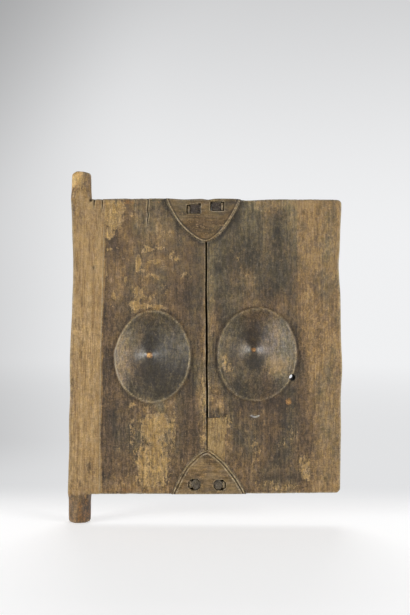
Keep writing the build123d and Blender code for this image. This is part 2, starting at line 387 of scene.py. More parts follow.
# %% [markdown]
# ## Two ways to make a closed body
# A plank is a block whose skin is pushed in and out, so `block_skin` makes the skin of a block of grid
# points. Pegs and pintles are rows of rings, one behind the other, so `ring_skin` joins rings and
# closes both ends. Both make watertight meshes, and a watertight mesh can be cut with another one,
# as a chisel cuts a mortise.


# %% Closed skins
def block_skin(across, up, deep):
    """Grid numbers of the skin points of a block, and the quads that join them."""
    i, j, k = np.indices((across, up, deep))
    skin = (i % (across - 1) == 0) | (j % (up - 1) == 0) | (k % (deep - 1) == 0)
    number = np.full(skin.shape, -1)
    number[skin] = np.arange(skin.sum())
    quads = []
    for axis in range(3):
        for side in (0, -1):
            face = np.take(number, side, axis)
            corners = [face[:-1, :-1], face[1:, :-1], face[1:, 1:], face[:-1, 1:]]
            if (side == 0) == (axis == 1):
                corners.reverse()
            quads.append(np.stack(corners, -1).reshape(-1, 4))
    return i[skin], j[skin], k[skin], np.concatenate(quads)


def to_mesh(name, points, faces):
    """An object from points in millimetres."""
    mesh = bpy.data.meshes.new(name)
    mesh.from_pydata((np.asarray(points, float) * MM).tolist(), [], [list(face) for face in faces])
    mesh.update()
    body = bpy.data.objects.new(name, mesh)
    scene.collection.objects.link(body)
    return body


def read(rows, name, size, kind=np.float32):
    """One property of all the points, edges or faces of a mesh, as rows of size numbers."""
    flat = np.empty(len(rows) * size, kind)
    rows.foreach_get(name, flat)
    return flat.reshape(-1, size)


def turned_outward(body):
    """Flips the faces of a closed body if they look inwards."""
    faces = body.data.polygons
    middle, normal, area = read(faces, "center", 3), read(faces, "normal", 3), read(faces, "area", 1)
    if (middle * normal * area).sum() < 0:
        body.data.flip_normals()
    return body


def at_depth(outline, y):
    """A flat outline of x and z, placed as a ring at depth y."""
    return np.stack([outline[:, 0], 0 * outline[:, 0] + y, outline[:, 1]], -1)


def ring_skin(name, rings):
    """A body from rings of the same number of points, its ends closed with flat caps."""
    count, last = len(rings[0]), (len(rings) - 1) * len(rings[0])
    faces = []
    for low in range(0, last, count):
        for m in range(count):
            after = (m + 1) % count
            faces.append((low + m, low + after, low + after + count, low + m + count))
    faces += [range(count)[::-1], range(last, last + count)]
    return turned_outward(to_mesh(name, np.concatenate(rings), faces))


def chisel(body, tool, how="DIFFERENCE"):
    """Cuts the tool from the body, or joins it on, and throws the tool away."""
    cut = body.modifiers.new("chisel", "BOOLEAN")
    cut.operation, cut.solver, cut.object = how, "MANIFOLD", tool
    bpy.context.view_layer.update()
    graph = bpy.context.evaluated_depsgraph_get()
    shaped = bpy.data.meshes.new_from_object(body.evaluated_get(graph))
    body.modifiers.clear()
    if not shaped.vertices:
        raise ValueError(f"cutting {tool.name} from {body.name} left nothing")
    body.data = shaped
    bpy.data.objects.remove(tool)


def points_of(body):
    """The points of a body as x, y, z rows in millimetres."""
    return read(body.data.vertices, "co", 3).T.astype(float) / MM


def grid_lines(start, stop, step, *fine):
    """Numbers from start to stop, step apart, closer near each fine (place, reach, step)."""
    at, lines = start, [start]
    while at < stop:
        here = step
        for place, reach, small in fine:
            here = min(here, small + 0.25 * max(0.0, abs(at - place) - reach))
        at += here
        lines.append(at)
    lines = np.array(lines)
    return start + (lines - start) * (stop - start) / (lines[-1] - start)


print("helpers ready; a small block skin has", len(block_skin(3, 3, 3)[3]), "faces")

# %% [markdown]
# ## The leaf's outline
# The hinge edge was left as the tree grew: it swells at the foot and draws in at the waist. The free
# edge is worn by hands. The seam leans a little, since each plank was hewn to follow its own grain.
# Each edge is a curve that gives x for a height z, or z for a reach x.

# %% Outline
LEAF_FOOT, LEAF_TOP = 47.7, 525.0
PLANK_BACK = 17.0
SEAM_FOOT, SEAM_TOP = 208.2, 202.2
SEAM_GAP, SEAM_GAP_DEPTH = 3.0, 20.0

hinge_edge = through(
    (47, -18.1), (67, -17.6), (93, -17.0), (119, -16.3), (170, -16.4), (196, -15.5), (248, -15.7),
    (286, -15.2), (312, -14.3), (338, -13.0), (376, -11.8), (441, -12.1), (467, -13.3), (505, -14.3),
    (525, -15.6),
)
free_edge = through(
    (48, 422.0), (89, 422.2), (160, 422.8), (198, 422.1), (224, 422.9), (250, 424.2), (289, 422.8),
    (314, 422.0), (360, 421.1), (379, 420.4), (398, 418.9), (418, 418.1), (450, 419.7), (482, 420.3),
    (512, 421.5), (525, 421.2),
)
top_edge = through(
    (-20, 524.6), (15, 524.2), (21, 523.3), (32, 523.4), (61, 524.6), (100, 524.8), (138, 524.9),
    (148, 524.3), (167, 523.0), (187, 523.9), (196, 524.2), (206, 522.8), (216, 524.4), (235, 524.8),
    (254, 524.2), (264, 522.9), (283, 523.2), (303, 524.3), (332, 524.8), (361, 524.9), (399, 524.8),
    (409, 524.7), (424, 523.6),
)
foot_edge = through((-20, 47.8), (73, 47.8), (210, 49.2), (353, 50.6), (392, 51.4), (424, 51.6))
stile_edge = through((48, 35.4), (264, 36.0), (443, 39.6), (525, 41.0))
gap_share = through((48, 0.5), (115, 0.95), (172, 0.95), (185, 1.0), (400, 1.05), (450, 0.95), (525, 0.7))


def seam(z):
    """The straight line along which the planks meet."""
    return SEAM_FOOT - (SEAM_FOOT - SEAM_TOP) * (z - LEAF_FOOT) / (LEAF_TOP - LEAF_FOOT)


print("seam at mid height stands", round(float(seam(286.0)), 1), "mm from the pivot axis")

# %% [markdown]
# ## The breasts
# Each breast is carved from the plank's own thickness. Its oval rim stays put while the flank climbs
# to a tip that stands off the middle, so the cone leans. Every point of the flank lies on one smaller
# oval, a share of the way from tip to rim. Solving for that share gives its height. The carver left
# the rim as a thin bead with a scooped hollow outside, and a small button as the nipple.


# %% Breasts
class Breast:
    """One oval cone with a leaning tip."""

    def __init__(self, middle, half_width, half_depth, shift, lift, tip_radius, slack):
        self.middle, self.slack = middle, slack
        self.half_width, self.half_depth = half_width, half_depth
        self.shift, self.lift, self.tip_radius = shift, lift, tip_radius
        self.tip = (middle[0] - shift, middle[1] + lift)

    def evened(self, x, z):
        """Moves points outwards where the carver left the oval a little slack."""
        across, up = x - self.middle[0], z - self.middle[1]
        way, width, amount = self.slack
        around = np.degrees(np.arctan2(up, across))
        apart = np.abs((around - way + 180) % 360 - 180)
        wander = 0.012 * line_noise(around, 24, int(way))
        grow = 1 + amount * bell(apart, width) + wander
        return self.middle[0] + across * grow, self.middle[1] + up * grow

    def oval(self, x, z):
        """1 on the rim, 0 in the middle of the oval, more than 1 outside."""
        x, z = self.evened(x, z)
        return np.hypot((x - self.middle[0]) / self.half_width, (z - self.middle[1]) / self.half_depth)

    def share(self, x, z):
        """How far from the tip to the rim, 0 to 1, along the leaning cone."""
        x, z = self.evened(x, z)
        from_tip_x, from_tip_z = x - self.tip[0], z - self.tip[1]
        wide, deep = self.half_width**2, self.half_depth**2
        square = 1 - self.shift**2 / wide - self.lift**2 / deep
        line = 2 * from_tip_x * self.shift / wide - 2 * from_tip_z * self.lift / deep
        rest = -(from_tip_x**2 / wide + from_tip_z**2 / deep)
        return (np.sqrt(np.maximum(line**2 - 4 * square * rest, 0)) - line) / (2 * square)

    def outside(self, x, z):
        """Millimetres outside the rim, negative inside."""
        return (self.oval(x, z) - 1) * 0.5 * (self.half_width + self.half_depth)


BREAST_RISE, RIM_STEP = 30.5, 3.5
TIP_SLOPE, RIM_SLOPE = 1.75, 1.3
FLANK_START = 0.985
BUTTON_HEIGHT = 2.3
left_breast = Breast((117.3, 270.7), 61.8, 74.4, 2.5, 3.3, 5.2, (142, 32, 0.06))
right_breast = Breast((286.6, 274.7), 63.8, 75.4, 7.6, 8.5, 3.8, (226, 30, -0.025))


def flank(share):
    """Height of the cone above its rim."""
    square, cubic = 2 * TIP_SLOPE + RIM_SLOPE - 3, TIP_SLOPE + RIM_SLOPE - 2
    return BREAST_RISE * (1 - TIP_SLOPE * share + square * share**2 - cubic * share**3)


def breast_relief(breast, x, z):
    """Height of a breast above the plank's face, with its hollow outside the rim."""
    share = breast.share(x, z)
    outside = breast.outside(x, z)
    cut_off = breast.tip_radius / breast.half_width
    cone = RIM_STEP - flank(FLANK_START) + flank(np.clip(share, cut_off, FLANK_START))
    shoulder = cone - 0.55 * bell(outside + 5.5, 2.2) + 0.35 * bell(outside + 2.0, 1.5)
    from_tip = np.hypot(x - breast.tip[0], z - breast.tip[1])
    button = BUTTON_HEIGHT * (1 - ease(from_tip, 0.5 * breast.tip_radius, 1.08 * breast.tip_radius))
    hollow = -0.55 * np.exp(-np.maximum(outside - 1.2, 0) / 6.0)
    drop = ease(outside, -0.8, 1.6)
    return (shoulder + button) * (1 - drop) + hollow * drop


highest = breast_relief(left_breast, *map(np.array, left_breast.tip))
print("left breast rises", round(float(highest), 1), "mm")

# %% [markdown]
# ## Splits, dents and scratches
# The top end of a plank dries first, so it has split from the edge. Knocks and cuts have left dents all
# over. Each is listed by its place and size, and sinks the face by its own depth. A dent's border is
# pulled about by noise, because a knock never leaves a clean oval. On the free side somebody scratched
# two lines beside the lower cleat.

# %% Cracks, dents and scratches
# cracks from the top edge: x, lowest z, half width, depth
top_cracks = [
    (23.0, 505, 0.6, 4.0), (36.0, 502, 0.5, 3.5), (58.0, 508, 0.4, 2.0), (88.5, 500, 0.4, 2.0),
    (109.5, 480, 0.6, 5.0),
]
# dents and chips: x, z, half width, half height, depth
left_dents = [
    (22.5, 413, 1.6, 3.2, 1.3), (-10, 229, 3.5, 7, 0.7), (17.5, 521.5, 2.4, 2.6, 2.2),
    (183, 92, 2.2, 2.2, 1.6), (120, 410, 9, 3.2, 0.5), (122, 425, 13, 2.5, 0.35), (113, 350, 14, 4, 0.4),
    (95, 421, 3, 9, 0.4), (92, 365, 4, 8, 0.35), (12, 145, 2.5, 2.5, 0.5), (-3, 60, 2, 2, 0.6),
    (70, 427, 2, 2, 0.4),
]
right_dents = [
    (338, 198, 5, 3.2, 1.0), (282, 173.5, 8, 3.0, 0.8), (309, 194, 2, 2, 0.9), (398, 75, 2.4, 2.4, 1.2),
    (383, 208, 1.6, 2, 0.7), (289, 419, 2, 5, 0.9), (286, 397, 2, 3, 0.5), (327, 361, 2, 2, 0.4),
    (242, 364, 2, 2, 0.4), (372, 92, 5, 3, 0.5), (330, 86, 6, 2.5, 0.6), (350, 78, 7, 3, 0.6),
    (355, 425, 3, 3, 0.4), (418, 245, 2, 5, 0.6),
]
# scratched lines: points x, z of each, from low to high
scratches = [((270, 50), (273, 66), (279, 90), (284, 106)), ((276, 56), (283, 78), (287, 98))]


def in_crack(x, z, crack, wider=1.0):
    """1 inside a crack from the top edge, 0 away from it."""
    crack_x, low, half_width, _ = crack
    wander = 0.6 * line_noise(z, 9, int(crack_x))
    return ease(z, low, low + 14) * bell(x - crack_x - wander, wider * half_width)


def cracks_and_dents(x, z, cracks, dents):
    """How deep the cracks and dents go at each point."""
    depth = 0 * x
    for crack in cracks:
        depth += crack[3] * in_crack(x, z, crack)
    for dent_x, dent_z, half_x, half_z, deep in dents:
        ragged = 1 + 0.25 * soft_noise(x, z, 2.5, 3.5, int(dent_x + dent_z))
        depth += deep * spot(x, z, dent_x, dent_z, half_x * ragged, half_z * ragged, 0.45)
    return depth


def scratched(x, z):
    """1 in the middle of a scratched line."""
    deepest = 0 * x
    for line in scratches:
        course = through(*[(at_z, at_x) for at_x, at_z in line])
        inside = ease(z, line[0][1] - 1, line[0][1] + 3) * (1 - ease(z, line[-1][1] - 6, line[-1][1]))
        deepest = np.maximum(deepest, inside * bell(x - course(z), 0.9))
    return deepest


print(len(top_cracks), "cracks and", len(left_dents) + len(right_dents), "dents listed")

# %% [markdown]
# ## The faces of the planks
# An adze leaves long shallow hollows, then rain and sun wash out the soft early wood between the hard
# late wood and leave furrows along the grain. On the hinge side a low band, the stile, was left
# standing. On the back nobody smoothed anything, and the adze marks stay as plain scallops. Each face
# is a function that gives the height at a place, so every kind of carving simply adds up.

# %% Front and back relief
ADZE_ROW, ADZE_CUT = 46, 27


def hewn_face(x, z, seed, breast):
    """The adze's slow waves and the grain's furrows, calmer on the smoothed breast."""
    waves = 0.42 * soft_noise(x, z, 55, 120, seed) + 0.2 * soft_noise(x, z, 19, 52, seed + 1)
    furrows = 0.16 * rough_noise(x + 2 * soft_noise(x, z, 30, 90, seed + 2), z, 5.5, 70, seed + 3)
    return (waves + furrows) * (0.35 + 0.65 * ease(breast.outside(x, z), -2, 14))


def stile_relief(x, z, soft=1.6):
    """The raised band along the hinge edge, worn away towards the top."""
    worn = 1 - 0.55 * ease(z, 445, 500)
    return 2.0 * worn * (1 - ease(x, stile_edge(z) - soft, stile_edge(z) + soft))


def left_front(x, z):
    """Height of the hinge-side plank's carved face."""
    head_sunk = 1.7 * ease(z, 503, 525) * (1 - ease(x, 13, 24))
    foot_sunk = (1 - ease(z, 48, 62)) * (1 - ease(x, 15, 24))
    face = hewn_face(x, z, 20, left_breast) + stile_relief(x, z) - head_sunk - foot_sunk
    return face + breast_relief(left_breast, x, z) - cracks_and_dents(x, z, top_cracks, left_dents)


def right_front(x, z):
    """Height of the free-side plank's carved face."""
    hollow = 0.8 * spot(x, z, 300, 196, 70, 16, 0.8) + 0.5 * scratched(x, z)
    face = hewn_face(x, z, 40, right_breast) - hollow
    return face + breast_relief(right_breast, x, z) - cracks_and_dents(x, z, [], right_dents)


def adzed_back(x, z, seed):
    """Scallops of the adze on the back, always hollow."""
    rows = z / ADZE_ROW + 0.35 * soft_noise(x, z, 60, 200, seed)
    offset = 13 * line_noise(np.floor(rows), 0.7, seed + 1)
    along, across = rows % 1, ((x + offset) / ADZE_CUT) % 1
    scallop = 0.9 * (4 * across * (1 - across)) ** 0.7 * (4 * along * (1 - along)) ** 0.5
    return -(0.25 + scallop + 0.12 * (1 + rough_noise(x, z, 4, 60, seed + 2)))


def left_back(x, z):
    """The back of the hinge-side plank, with the stile standing a little proud."""
    return adzed_back(x, z, 50) + stile_relief(x, z, 6.0)


beside_breast = left_front(np.array(60.0), np.array(180.0))
print("face beside the left breast stands", round(float(beside_breast), 2), "mm")

# %% [markdown]
# ## Sawing out the planks
# The grid of each plank follows its own edges, so a crooked edge doesn't need more points. Points lie
# closer along the edges, at the nipple and at the cracks, where the shape turns quickly. An edge that
# hands and rain have reached is round, and its radius wanders because wear does.


# %% Plank skins
def worn_arris(distance, x, z, radius, seed):
    """How far a worn edge is rounded back at a distance from it."""
    radius = radius * (1 + 0.35 * soft_noise(x, z, 23, 31, seed))
    inward = np.clip(1 - distance / radius, 0, 1)
    return radius * (1 - np.sqrt(1 - inward**2))


class Plank:
    """A plank between two edges, with a front and a back relief, and how round each border is worn."""

    stub_reach = -100.0
    layers = np.array([0, 2, 5, 8, 11, 14, 17, 19.4, 20.6, 23, 26, 29, 32, 34]) / (2 * PLANK_BACK)

    def __init__(self, name, left_edge, right_edge, front, back, rounds, fine_x, fine_z):
        self.name = name
        self.left_edge, self.right_edge = left_edge, right_edge
        self.front, self.back, self.rounds = front, back, rounds
        middle = np.array(286.0)
        self.low_x, self.high_x = float(left_edge(middle)), float(right_edge(middle))
        edge_x = [(self.low_x, 1.5, 0.5), (self.high_x, 1.5, 0.5)]
        edge_z = [(LEAF_FOOT, 1.5, 0.6), (LEAF_TOP, 1.5, 0.6)]
        self.x_lines = grid_lines(self.low_x, self.high_x, 1.5, *edge_x, *fine_x)
        self.z_lines = grid_lines(LEAF_FOOT, LEAF_TOP, 2.5, *edge_z, *fine_z)

    def build(self):
        """The closed skin of the plank."""
        i, j, k, quads = block_skin(len(self.x_lines), len(self.z_lines), len(self.layers))
        line_x, line_z, share = self.x_lines[i], self.z_lines[j], self.layers[k]
        left, right = self.left_edge(line_z), self.right_edge(line_z)
        x = line_x + (left - self.low_x) * (1 - ease(line_x, self.low_x, self.low_x + 40))
        x += (right - self.high_x) * ease(line_x, self.high_x - 40, self.high_x)
        z = line_z + (foot_edge(x) - LEAF_FOOT) * (1 - ease(line_z, LEAF_FOOT, LEAF_FOOT + 30))
        z += (top_edge(x) - LEAF_TOP) * ease(line_z, LEAF_TOP - 25, LEAF_TOP)
        x, z = self.round_corners(x, z)

        grown_on = 50 * (1 - ease(x, self.stub_reach - 2, self.stub_reach + 2))
        borders = (x - left, right - x, z - foot_edge(x) + grown_on, top_edge(x) - z + grown_on)
        worn_front, worn_back = 0 * x, 0 * x
        for n, (distance, radius) in enumerate(zip(borders, self.rounds)):
            worn_front = np.maximum(worn_front, worn_arris(distance, x, z, radius, 70 + n))
            worn_back = np.maximum(worn_back, worn_arris(distance, x, z, 0.8 * radius, 80 + n))
        front = -PLANK_BACK - self.front(x, z) + worn_front
        back = PLANK_BACK + self.back(x, z) - worn_back
        y = front + (back - front) * share
        x, z = self.hew_sides(x, y, z, line_x, line_z)
        return to_mesh(self.name, np.stack([x, y, z], -1), quads)

    def round_corners(self, x, z):
        """Nothing to round unless a plank says so."""
        return x, z

    def hew_sides(self, x, y, z, line_x, line_z):
        """Roughens the narrow sides inwards."""
        at_left = 1 - ease(line_x, self.low_x, self.low_x + 3)
        at_right = ease(line_x, self.high_x - 3, self.high_x)
        x = self.hew_edges(x, y, z, at_left, at_right)
        at_ends = 1 - ease(line_z, LEAF_FOOT, LEAF_FOOT + 3) - ease(line_z, LEAF_TOP - 3, LEAF_TOP)
        end_grain = 0.2 * (1 + rough_noise(x, y, 5, 7, 93)) + 0.15 * (1 + soft_noise(x, y, 1.8, 3.0, 94))
        end_grain += 1.1 * np.clip(rough_noise(x, y, 11, 16, 95) - 0.15, 0, 1)
        return x, z + at_ends * end_grain


print("plank grids have", len(Plank.layers), "layers of points from front to back")

# %% [markdown]
# ## The open seam
# The planks have shrunk apart at the front, but still touch behind. So the seam is a slit some 3 mm
# wide and 20 mm deep that closes towards the back. The slit's course wanders a little, the same way on
# both planks, and its lips are nibbled, each in its own way.


# %% Both planks
def seam_lip(y, z, toward, seed):
    """How far a plank's seam side stands back from the seam, open in front and closed behind."""
    floor_of_slit = SEAM_GAP_DEPTH - PLANK_BACK
    open_here = 1 - ease(y, floor_of_slit - 0.5, floor_of_slit + 0.5)
    wander = 0.45 * line_noise(z, 40, 5)
    nibbled = 0.7 * np.clip(rough_noise(z, 0 * z, 12, 9, seed), 0, 1)
    return (0.5 * SEAM_GAP * gap_share(z) + toward * wander + nibbled) * open_here


def rough_side(y, z):
    """The uneven narrow side that was split off with the adze."""
    return 0.35 * (1 + rough_noise(y, z, 9, 34, 91))


class HingePlank(Plank):
    """The hinge-side plank: its ends stay square where the pintles grow out of them."""

    stub_reach = 17.0

    def hew_edges(self, x, y, z, at_left, at_right):
        return x + at_left * rough_side(y, z) - at_right * seam_lip(y, z, -1, 101)


class FreePlank(Plank):
    """The free-side plank, whose two outer corners are worn round."""

    def hew_edges(self, x, y, z, at_left, at_right):
        return x - at_right * rough_side(y, z) + at_left * seam_lip(y, z, 1, 100)

    def round_corners(self, x, z):
        corners = ((free_edge(z), top_edge(x), 1, 7.0), (free_edge(z), foot_edge(x), -1, 10.0))
        for side, end, up, radius in corners:
            reach_x = np.clip(1 - (side - x) / radius, 0, None)
            reach_z = np.clip(1 - up * (end - z) / radius, 0, None)
            near = (reach_x > 0) & (reach_z > 0)
            longest, shortest = np.maximum(reach_x, reach_z), np.minimum(reach_x, reach_z)
            angle = 0.25 * math.pi * shortest / np.maximum(longest, 1e-6)
            along, over = longest * np.cos(angle), longest * np.sin(angle)
            new_x = np.where(reach_x >= reach_z, along, over)
            new_z = np.where(reach_x >= reach_z, over, along)
            x = np.where(near, x + radius * (new_x - reach_x), x)
            z = np.where(near, z + up * radius * (new_z - reach_z), z)
        return x, z


left_tip, right_tip = left_breast.tip, right_breast.tip
crack_lines = [(crack[0], 0.8, 0.45) for crack in top_cracks]
left_plank = HingePlank(
    "left_plank_wood", hinge_edge, seam, left_front, left_back, (5.0, 1.2, 2.2, 1.6),
    [(left_tip[0], 5, 0.6), *crack_lines], [(left_tip[1], 5, 0.7)],
).build()
right_back = functools.partial(adzed_back, seed=60)
right_plank = FreePlank(
    "right_plank_wood", seam, free_edge, right_front, right_back, (1.2, 3.0, 2.4, 1.8),
    [(right_tip[0], 4, 0.5), (283.5, 8, 0.7)], [(right_tip[1], 4, 0.6), (174.5, 4, 0.6)],
).build()
for plank in (left_plank, right_plank):
    print(plank.name, len(plank.data.polygons) * 2, "triangles")

# %% [markdown]
# ## Pintles
# The leaf turns on two stubs carved from the same plank: the lower one stands in a socket stone, the
# upper one in a hole of the lintel. They were rounded with a knife, so their section is a ring of
# long flat facets, and turning in the socket has polished and rounded their ends. Each grows out of
# the plank with no joint, so it is joined on as one body.

# %% Pintles
RING_POINTS = 72


def squareness(height):
    """1 where a stub grows out of the plank, 0 on the part that turns."""
    return ease(height, 34, 50) * (1 - ease(height, 524, 541))


def pintle_rings(heights, radii, worn_radius, seed):
    """Rings of a whittled stub; those narrower than worn_radius make the uneven worn end."""
    around = np.linspace(0, 2 * math.pi, RING_POINTS, endpoint=False)
    mended = np.clip(np.minimum(around, 2 * math.pi - around) / 0.5, 0, 1)
    rings = []
    for height, radius in zip(heights, radii):
        facets = 0.28 * soft_noise(around * 7 / math.pi, 0 * around + height / 60, 1, 1, seed)
        grain = 0.14 * soft_noise(RING_POINTS * around / 6, 0 * around + height, 1.7, 60, seed + 1)
        keep = radius - np.abs(facets + grain) * mended * min(1.0, radius / 8)
        power = 2 * (1 + 0.9 * squareness(height))
        section = np.abs(np.cos(around)) ** power + np.abs(np.sin(around)) ** power
        keep = keep * section ** (-1 / power)
        x, y = keep * np.cos(around), keep * np.sin(around)
        uneven = 0.35 * soft_noise(x, y, 5, 5, seed + 2) * (radius < worn_radius)
        rings.append(np.stack([x, y, height + uneven], -1))
    return rings


def lower_pintle():
    """The foot stub: flat worn end, edge rounded over, a faint belly, and a root inside the plank."""
    end_radii = (1.0, 4.0, 8.0, 12.0, 14.8, 16.2, 17.2, 17.8)
    end_heights = (0.35, 0.35, 0.36, 0.4, 0.6, 1.3, 2.6, 4.4)
    body = through((4.5, 17.8), (12, 18.0), (27, 18.0), (38, 18.15), (48, 18.5), (54, 18.0), (62, 14.5))
    span = np.linspace(6.5, 62, 30)
    return pintle_rings([*end_heights, *span], [*end_radii, *body(span)], 15, 101)


def upper_pintle():
    """The head stub, hewn off a little slantwise and worn to a low dome."""
    end_radii = (14.7, 13.6, 12.0, 9.0, 5.0, 1.0)
    end_heights = (566.5, 567.9, 568.7, 569.1, 569.2, 569.2)
    body = through((505, 12.0), (512, 14.6), (519, 15.9), (527, 16.3), (538, 16.0), (552, 15.8), (565, 15.3))
    span = np.linspace(505, 564.5, 32)
    rings = pintle_rings([*span, *end_heights], [*body(span), *end_radii], 13, 111)
    for ring in rings:
        x, y, z = ring.T
        hewn_off = 0.08 * (x + 4).clip(0, 20) + 1.6 * spot(x, y, -13, -4, 5, 9, 0.8)
        ring[:, 2] -= ease(z, 552, 568) * hewn_off
    return rings


for name, rings in (("lower_pintle", lower_pintle()), ("upper_pintle", upper_pintle())):
    chisel(left_plank, ring_skin(name, rings), "UNION")
print("with pintles the hinge plank is", round(points_of(left_plank)[2].max(), 1), "mm tall")

# %% [markdown]
# ## Drawing the cleats
# A cleat bridges the seam at each end: a curved tongue above, a lancet below. Both lie in a pocket
# cut half through the planks, and their grain runs across, at right angles to the planks, so neither
# plank can move along the other. Each is drawn by its two borders, from the tip to the leaf's edge.

# %% Cleat outlines
CLEAT_DEPTH = 13.0
POCKET_GAP = 0.25
CLEAT_MIDDLE = 205


def along_border(points):
    """A curve through border points, from 0 at the tip to 1 at the leaf's edge."""
    steps = np.hypot(*np.diff(np.array(points, float), axis=0).T)
    at = np.concatenate([[0], np.cumsum(steps)]) / steps.sum()
    curve_x = through(*zip(at, (x for x, _ in points)))
    curve_z = through(*zip(at, (z for _, z in points)))
    return lambda t: np.stack([curve_x(t), curve_z(t)], -1)


class Cleat:
    """A bridge between the planks: borders, how proud it stands, which end is up, and its beads."""

    def __init__(self, name, left, right, proud, upright, beads, right_inset, seed):
        self.name = name
        self.left, self.right = along_border(left), along_border(right)
        self.proud, self.upright = proud, upright
        self.beads, self.right_inset, self.seed = beads, right_inset, seed

    def outline(self, grow, count=40):
        """Points around the cleat, pushed outwards by grow."""
        t = np.linspace(0, 1, count)
        over = np.array([[0.0, self.upright * 4.0]])
        right, left = self.right(t), self.left(t)
        ring = np.concatenate([right, right[-1:] + over, left[-1:] + over, left[::-1]])
        way = np.roll(ring, -1, 0) - np.roll(ring, 1, 0)
        normal = np.stack([way[:, 1], -way[:, 0]], -1) / np.hypot(*way.T)[:, None]
        return ring + grow * normal * self.upright

    def pocket(self):
        """The tool that cuts the cleat's pocket in the planks."""
        depths = (-PLANK_BACK - 9.0, -PLANK_BACK - 2.0, -PLANK_BACK + 5.0, CLEAT_DEPTH - PLANK_BACK)
        ring = self.outline(POCKET_GAP)
        return ring_skin(self.name + "_pocket", [at_depth(ring, y) for y in depths])

    def end_edge(self, x):
        """The leaf's own edge where the cleat ends flush with it."""
        return (top_edge(x) if self.upright > 0 else foot_edge(x)) - 0.15 * self.upright

    def reach(self, x, z):
        """Distance of points from the cleat's border, whichever side they lie on."""
        line = self.outline(0.0, 90)
        close = (z > line[:, 1].min() - 12) & (z < line[:, 1].max() + 12) & (np.abs(x - CLEAT_MIDDLE) < 75)
        nearest = np.full(len(x), 99.0)
        here = np.flatnonzero(close)
        for start, end in zip(line, np.roll(line, -1, 0)):
            way = end - start
            if abs(way[1]) < 0.01 and abs(way[0]) > 20:
                continue
            share = ((x[here] - start[0]) * way[0] + (z[here] - start[1]) * way[1]) / max(way @ way, 1e-9)
            share = np.clip(share, 0, 1)
            gap = np.hypot(x[here] - start[0] - share * way[0], z[here] - start[1] - share * way[1])
            nearest[here] = np.minimum(nearest[here], gap)
        return nearest

    def from_beads(self, x, border):
        """Distance from the border as the beads count it: they sit further in on the right."""
        return border - self.right_inset * ease(x, 200, 225)


# beads and grooves along the border: distance from it, half width, height
top_cleat = Cleat(
    "top_cleat_wood",
    [(203, 455.7), (198, 456.2), (192.5, 458.4), (180.7, 466), (168.8, 476), (159.4, 486), (151.1, 499),
     (143.1, 514), (138.2, 525)],
    [(203, 455.7), (208.5, 456.6), (215, 460), (226, 468.6), (235, 480), (245, 495), (252, 508), (257, 519),
     (259, 525)],
    3.7, 1, [(1.2, 0.8, 0.5), (3.4, 1.2, -0.35)], 1.8, 120,
)
bottom_cleat = Cleat(
    "bottom_cleat_wood",
    [(208, 120.9), (201.8, 119.2), (193, 114), (182.7, 104), (174, 95), (165, 80), (155, 59), (149.5, 48)],
    [(208, 120.9), (212.5, 118.6), (223, 111), (234, 101), (244, 89), (254, 76), (265, 58), (270, 49)],
    2.3, -1, [(1.3, 1.0, 0.8), (3.5, 0.8, -1.1), (5.7, 1.0, 0.8)], 0.0, 130,
)
print("cleats stand", top_cleat.proud, "and", bottom_cleat.proud, "mm proud of the planks")

# %% [markdown]
# ## Carving the cleats and letting them in
# The carver ran a bead along the border and a second line inside it. The grid of a cleat is ruled
# between its two borders, with rows of points at set distances from each, so a bead follows its curve
# exactly. At the tip those rows squeeze together. The pockets are cut a hair wider than the cleats.


# %% Carving the cleats
EDGE_ROWS = np.array([0, 0.35, 0.8, 1.3, 1.9, 2.5, 3.1, 3.7, 4.3, 5.0, 5.8, 6.6, 7.5])
INNER_ROWS = np.linspace(0, 1, 110)[1:-1]
TIP_HALF = 1.2


def ruled_across(i, width):
    """Where each column of points lies between the borders, 0 to 1, for the cleat's local width."""
    squeeze = np.minimum(1, width / (2.6 * EDGE_ROWS[-1]))
    last, from_end = len(EDGE_ROWS) - 1, len(EDGE_ROWS) * 2 + len(INNER_ROWS) - 1 - i
    middle = INNER_ROWS[np.clip(i - last - 1, 0, len(INNER_ROWS) - 1)]
    free = width - 2 * EDGE_ROWS[-1] * squeeze
    offset = EDGE_ROWS[-1] * squeeze + middle * free
    offset = np.where(i <= last, EDGE_ROWS[np.minimum(i, last)] * squeeze, offset)
    offset = np.where(from_end <= last, width - EDGE_ROWS[np.minimum(from_end, last)] * squeeze, offset)
    return offset / width


def cleat_face(cleat, x, z):
    """Height of the carved face, with its beads at their distance from the border."""
    border = cleat.reach(x, z)
    height = 0.35 * soft_noise(x, z, 34, 16, cleat.seed) - 0.15
    height += 0.2 * rough_noise(x, z, 34, 3.2, cleat.seed + 1)
    for at, width, rise in cleat.beads:
        height += rise * bell(cleat.from_beads(x, border) - at, width)
    height -= 1.1 * np.clip(1 - border / 1.6, 0, 1) ** 2
    return height - 1.3 * np.clip(1 - np.abs(cleat.end_edge(x) - z) / 1.8, 0, 1) ** 2


def carve(cleat):
    """The closed skin of a cleat."""
    rows = grid_lines(0.0, 1.0, 0.011, (1.0, 0.01, 0.005), (0.0, 0.02, 0.006))
    i, j, k, quads = block_skin(len(EDGE_ROWS) * 2 + len(INNER_ROWS), len(rows), 9)
    t, share = rows[j], k / 8.0
    left, right = cleat.left(t), cleat.right(t)
    left[:, 0] -= TIP_HALF * (1 - ease(t, 0, 0.08))
    right[:, 0] += TIP_HALF * (1 - ease(t, 0, 0.08))
    ruled = ruled_across(i, right[:, 0] - left[:, 0])
    x, z = (left * (1 - ruled[:, None]) + right * ruled[:, None]).T
    z = z + np.clip((t - 0.9) / 0.1, 0, 1) * (cleat.end_edge(x) - z)
    front = -PLANK_BACK - cleat.proud - cleat_face(cleat, x, z)
    y = front + (CLEAT_DEPTH - PLANK_BACK - 0.1 - front) * share
    return turned_outward(to_mesh(cleat.name, np.stack([x, y, z], -1), quads))


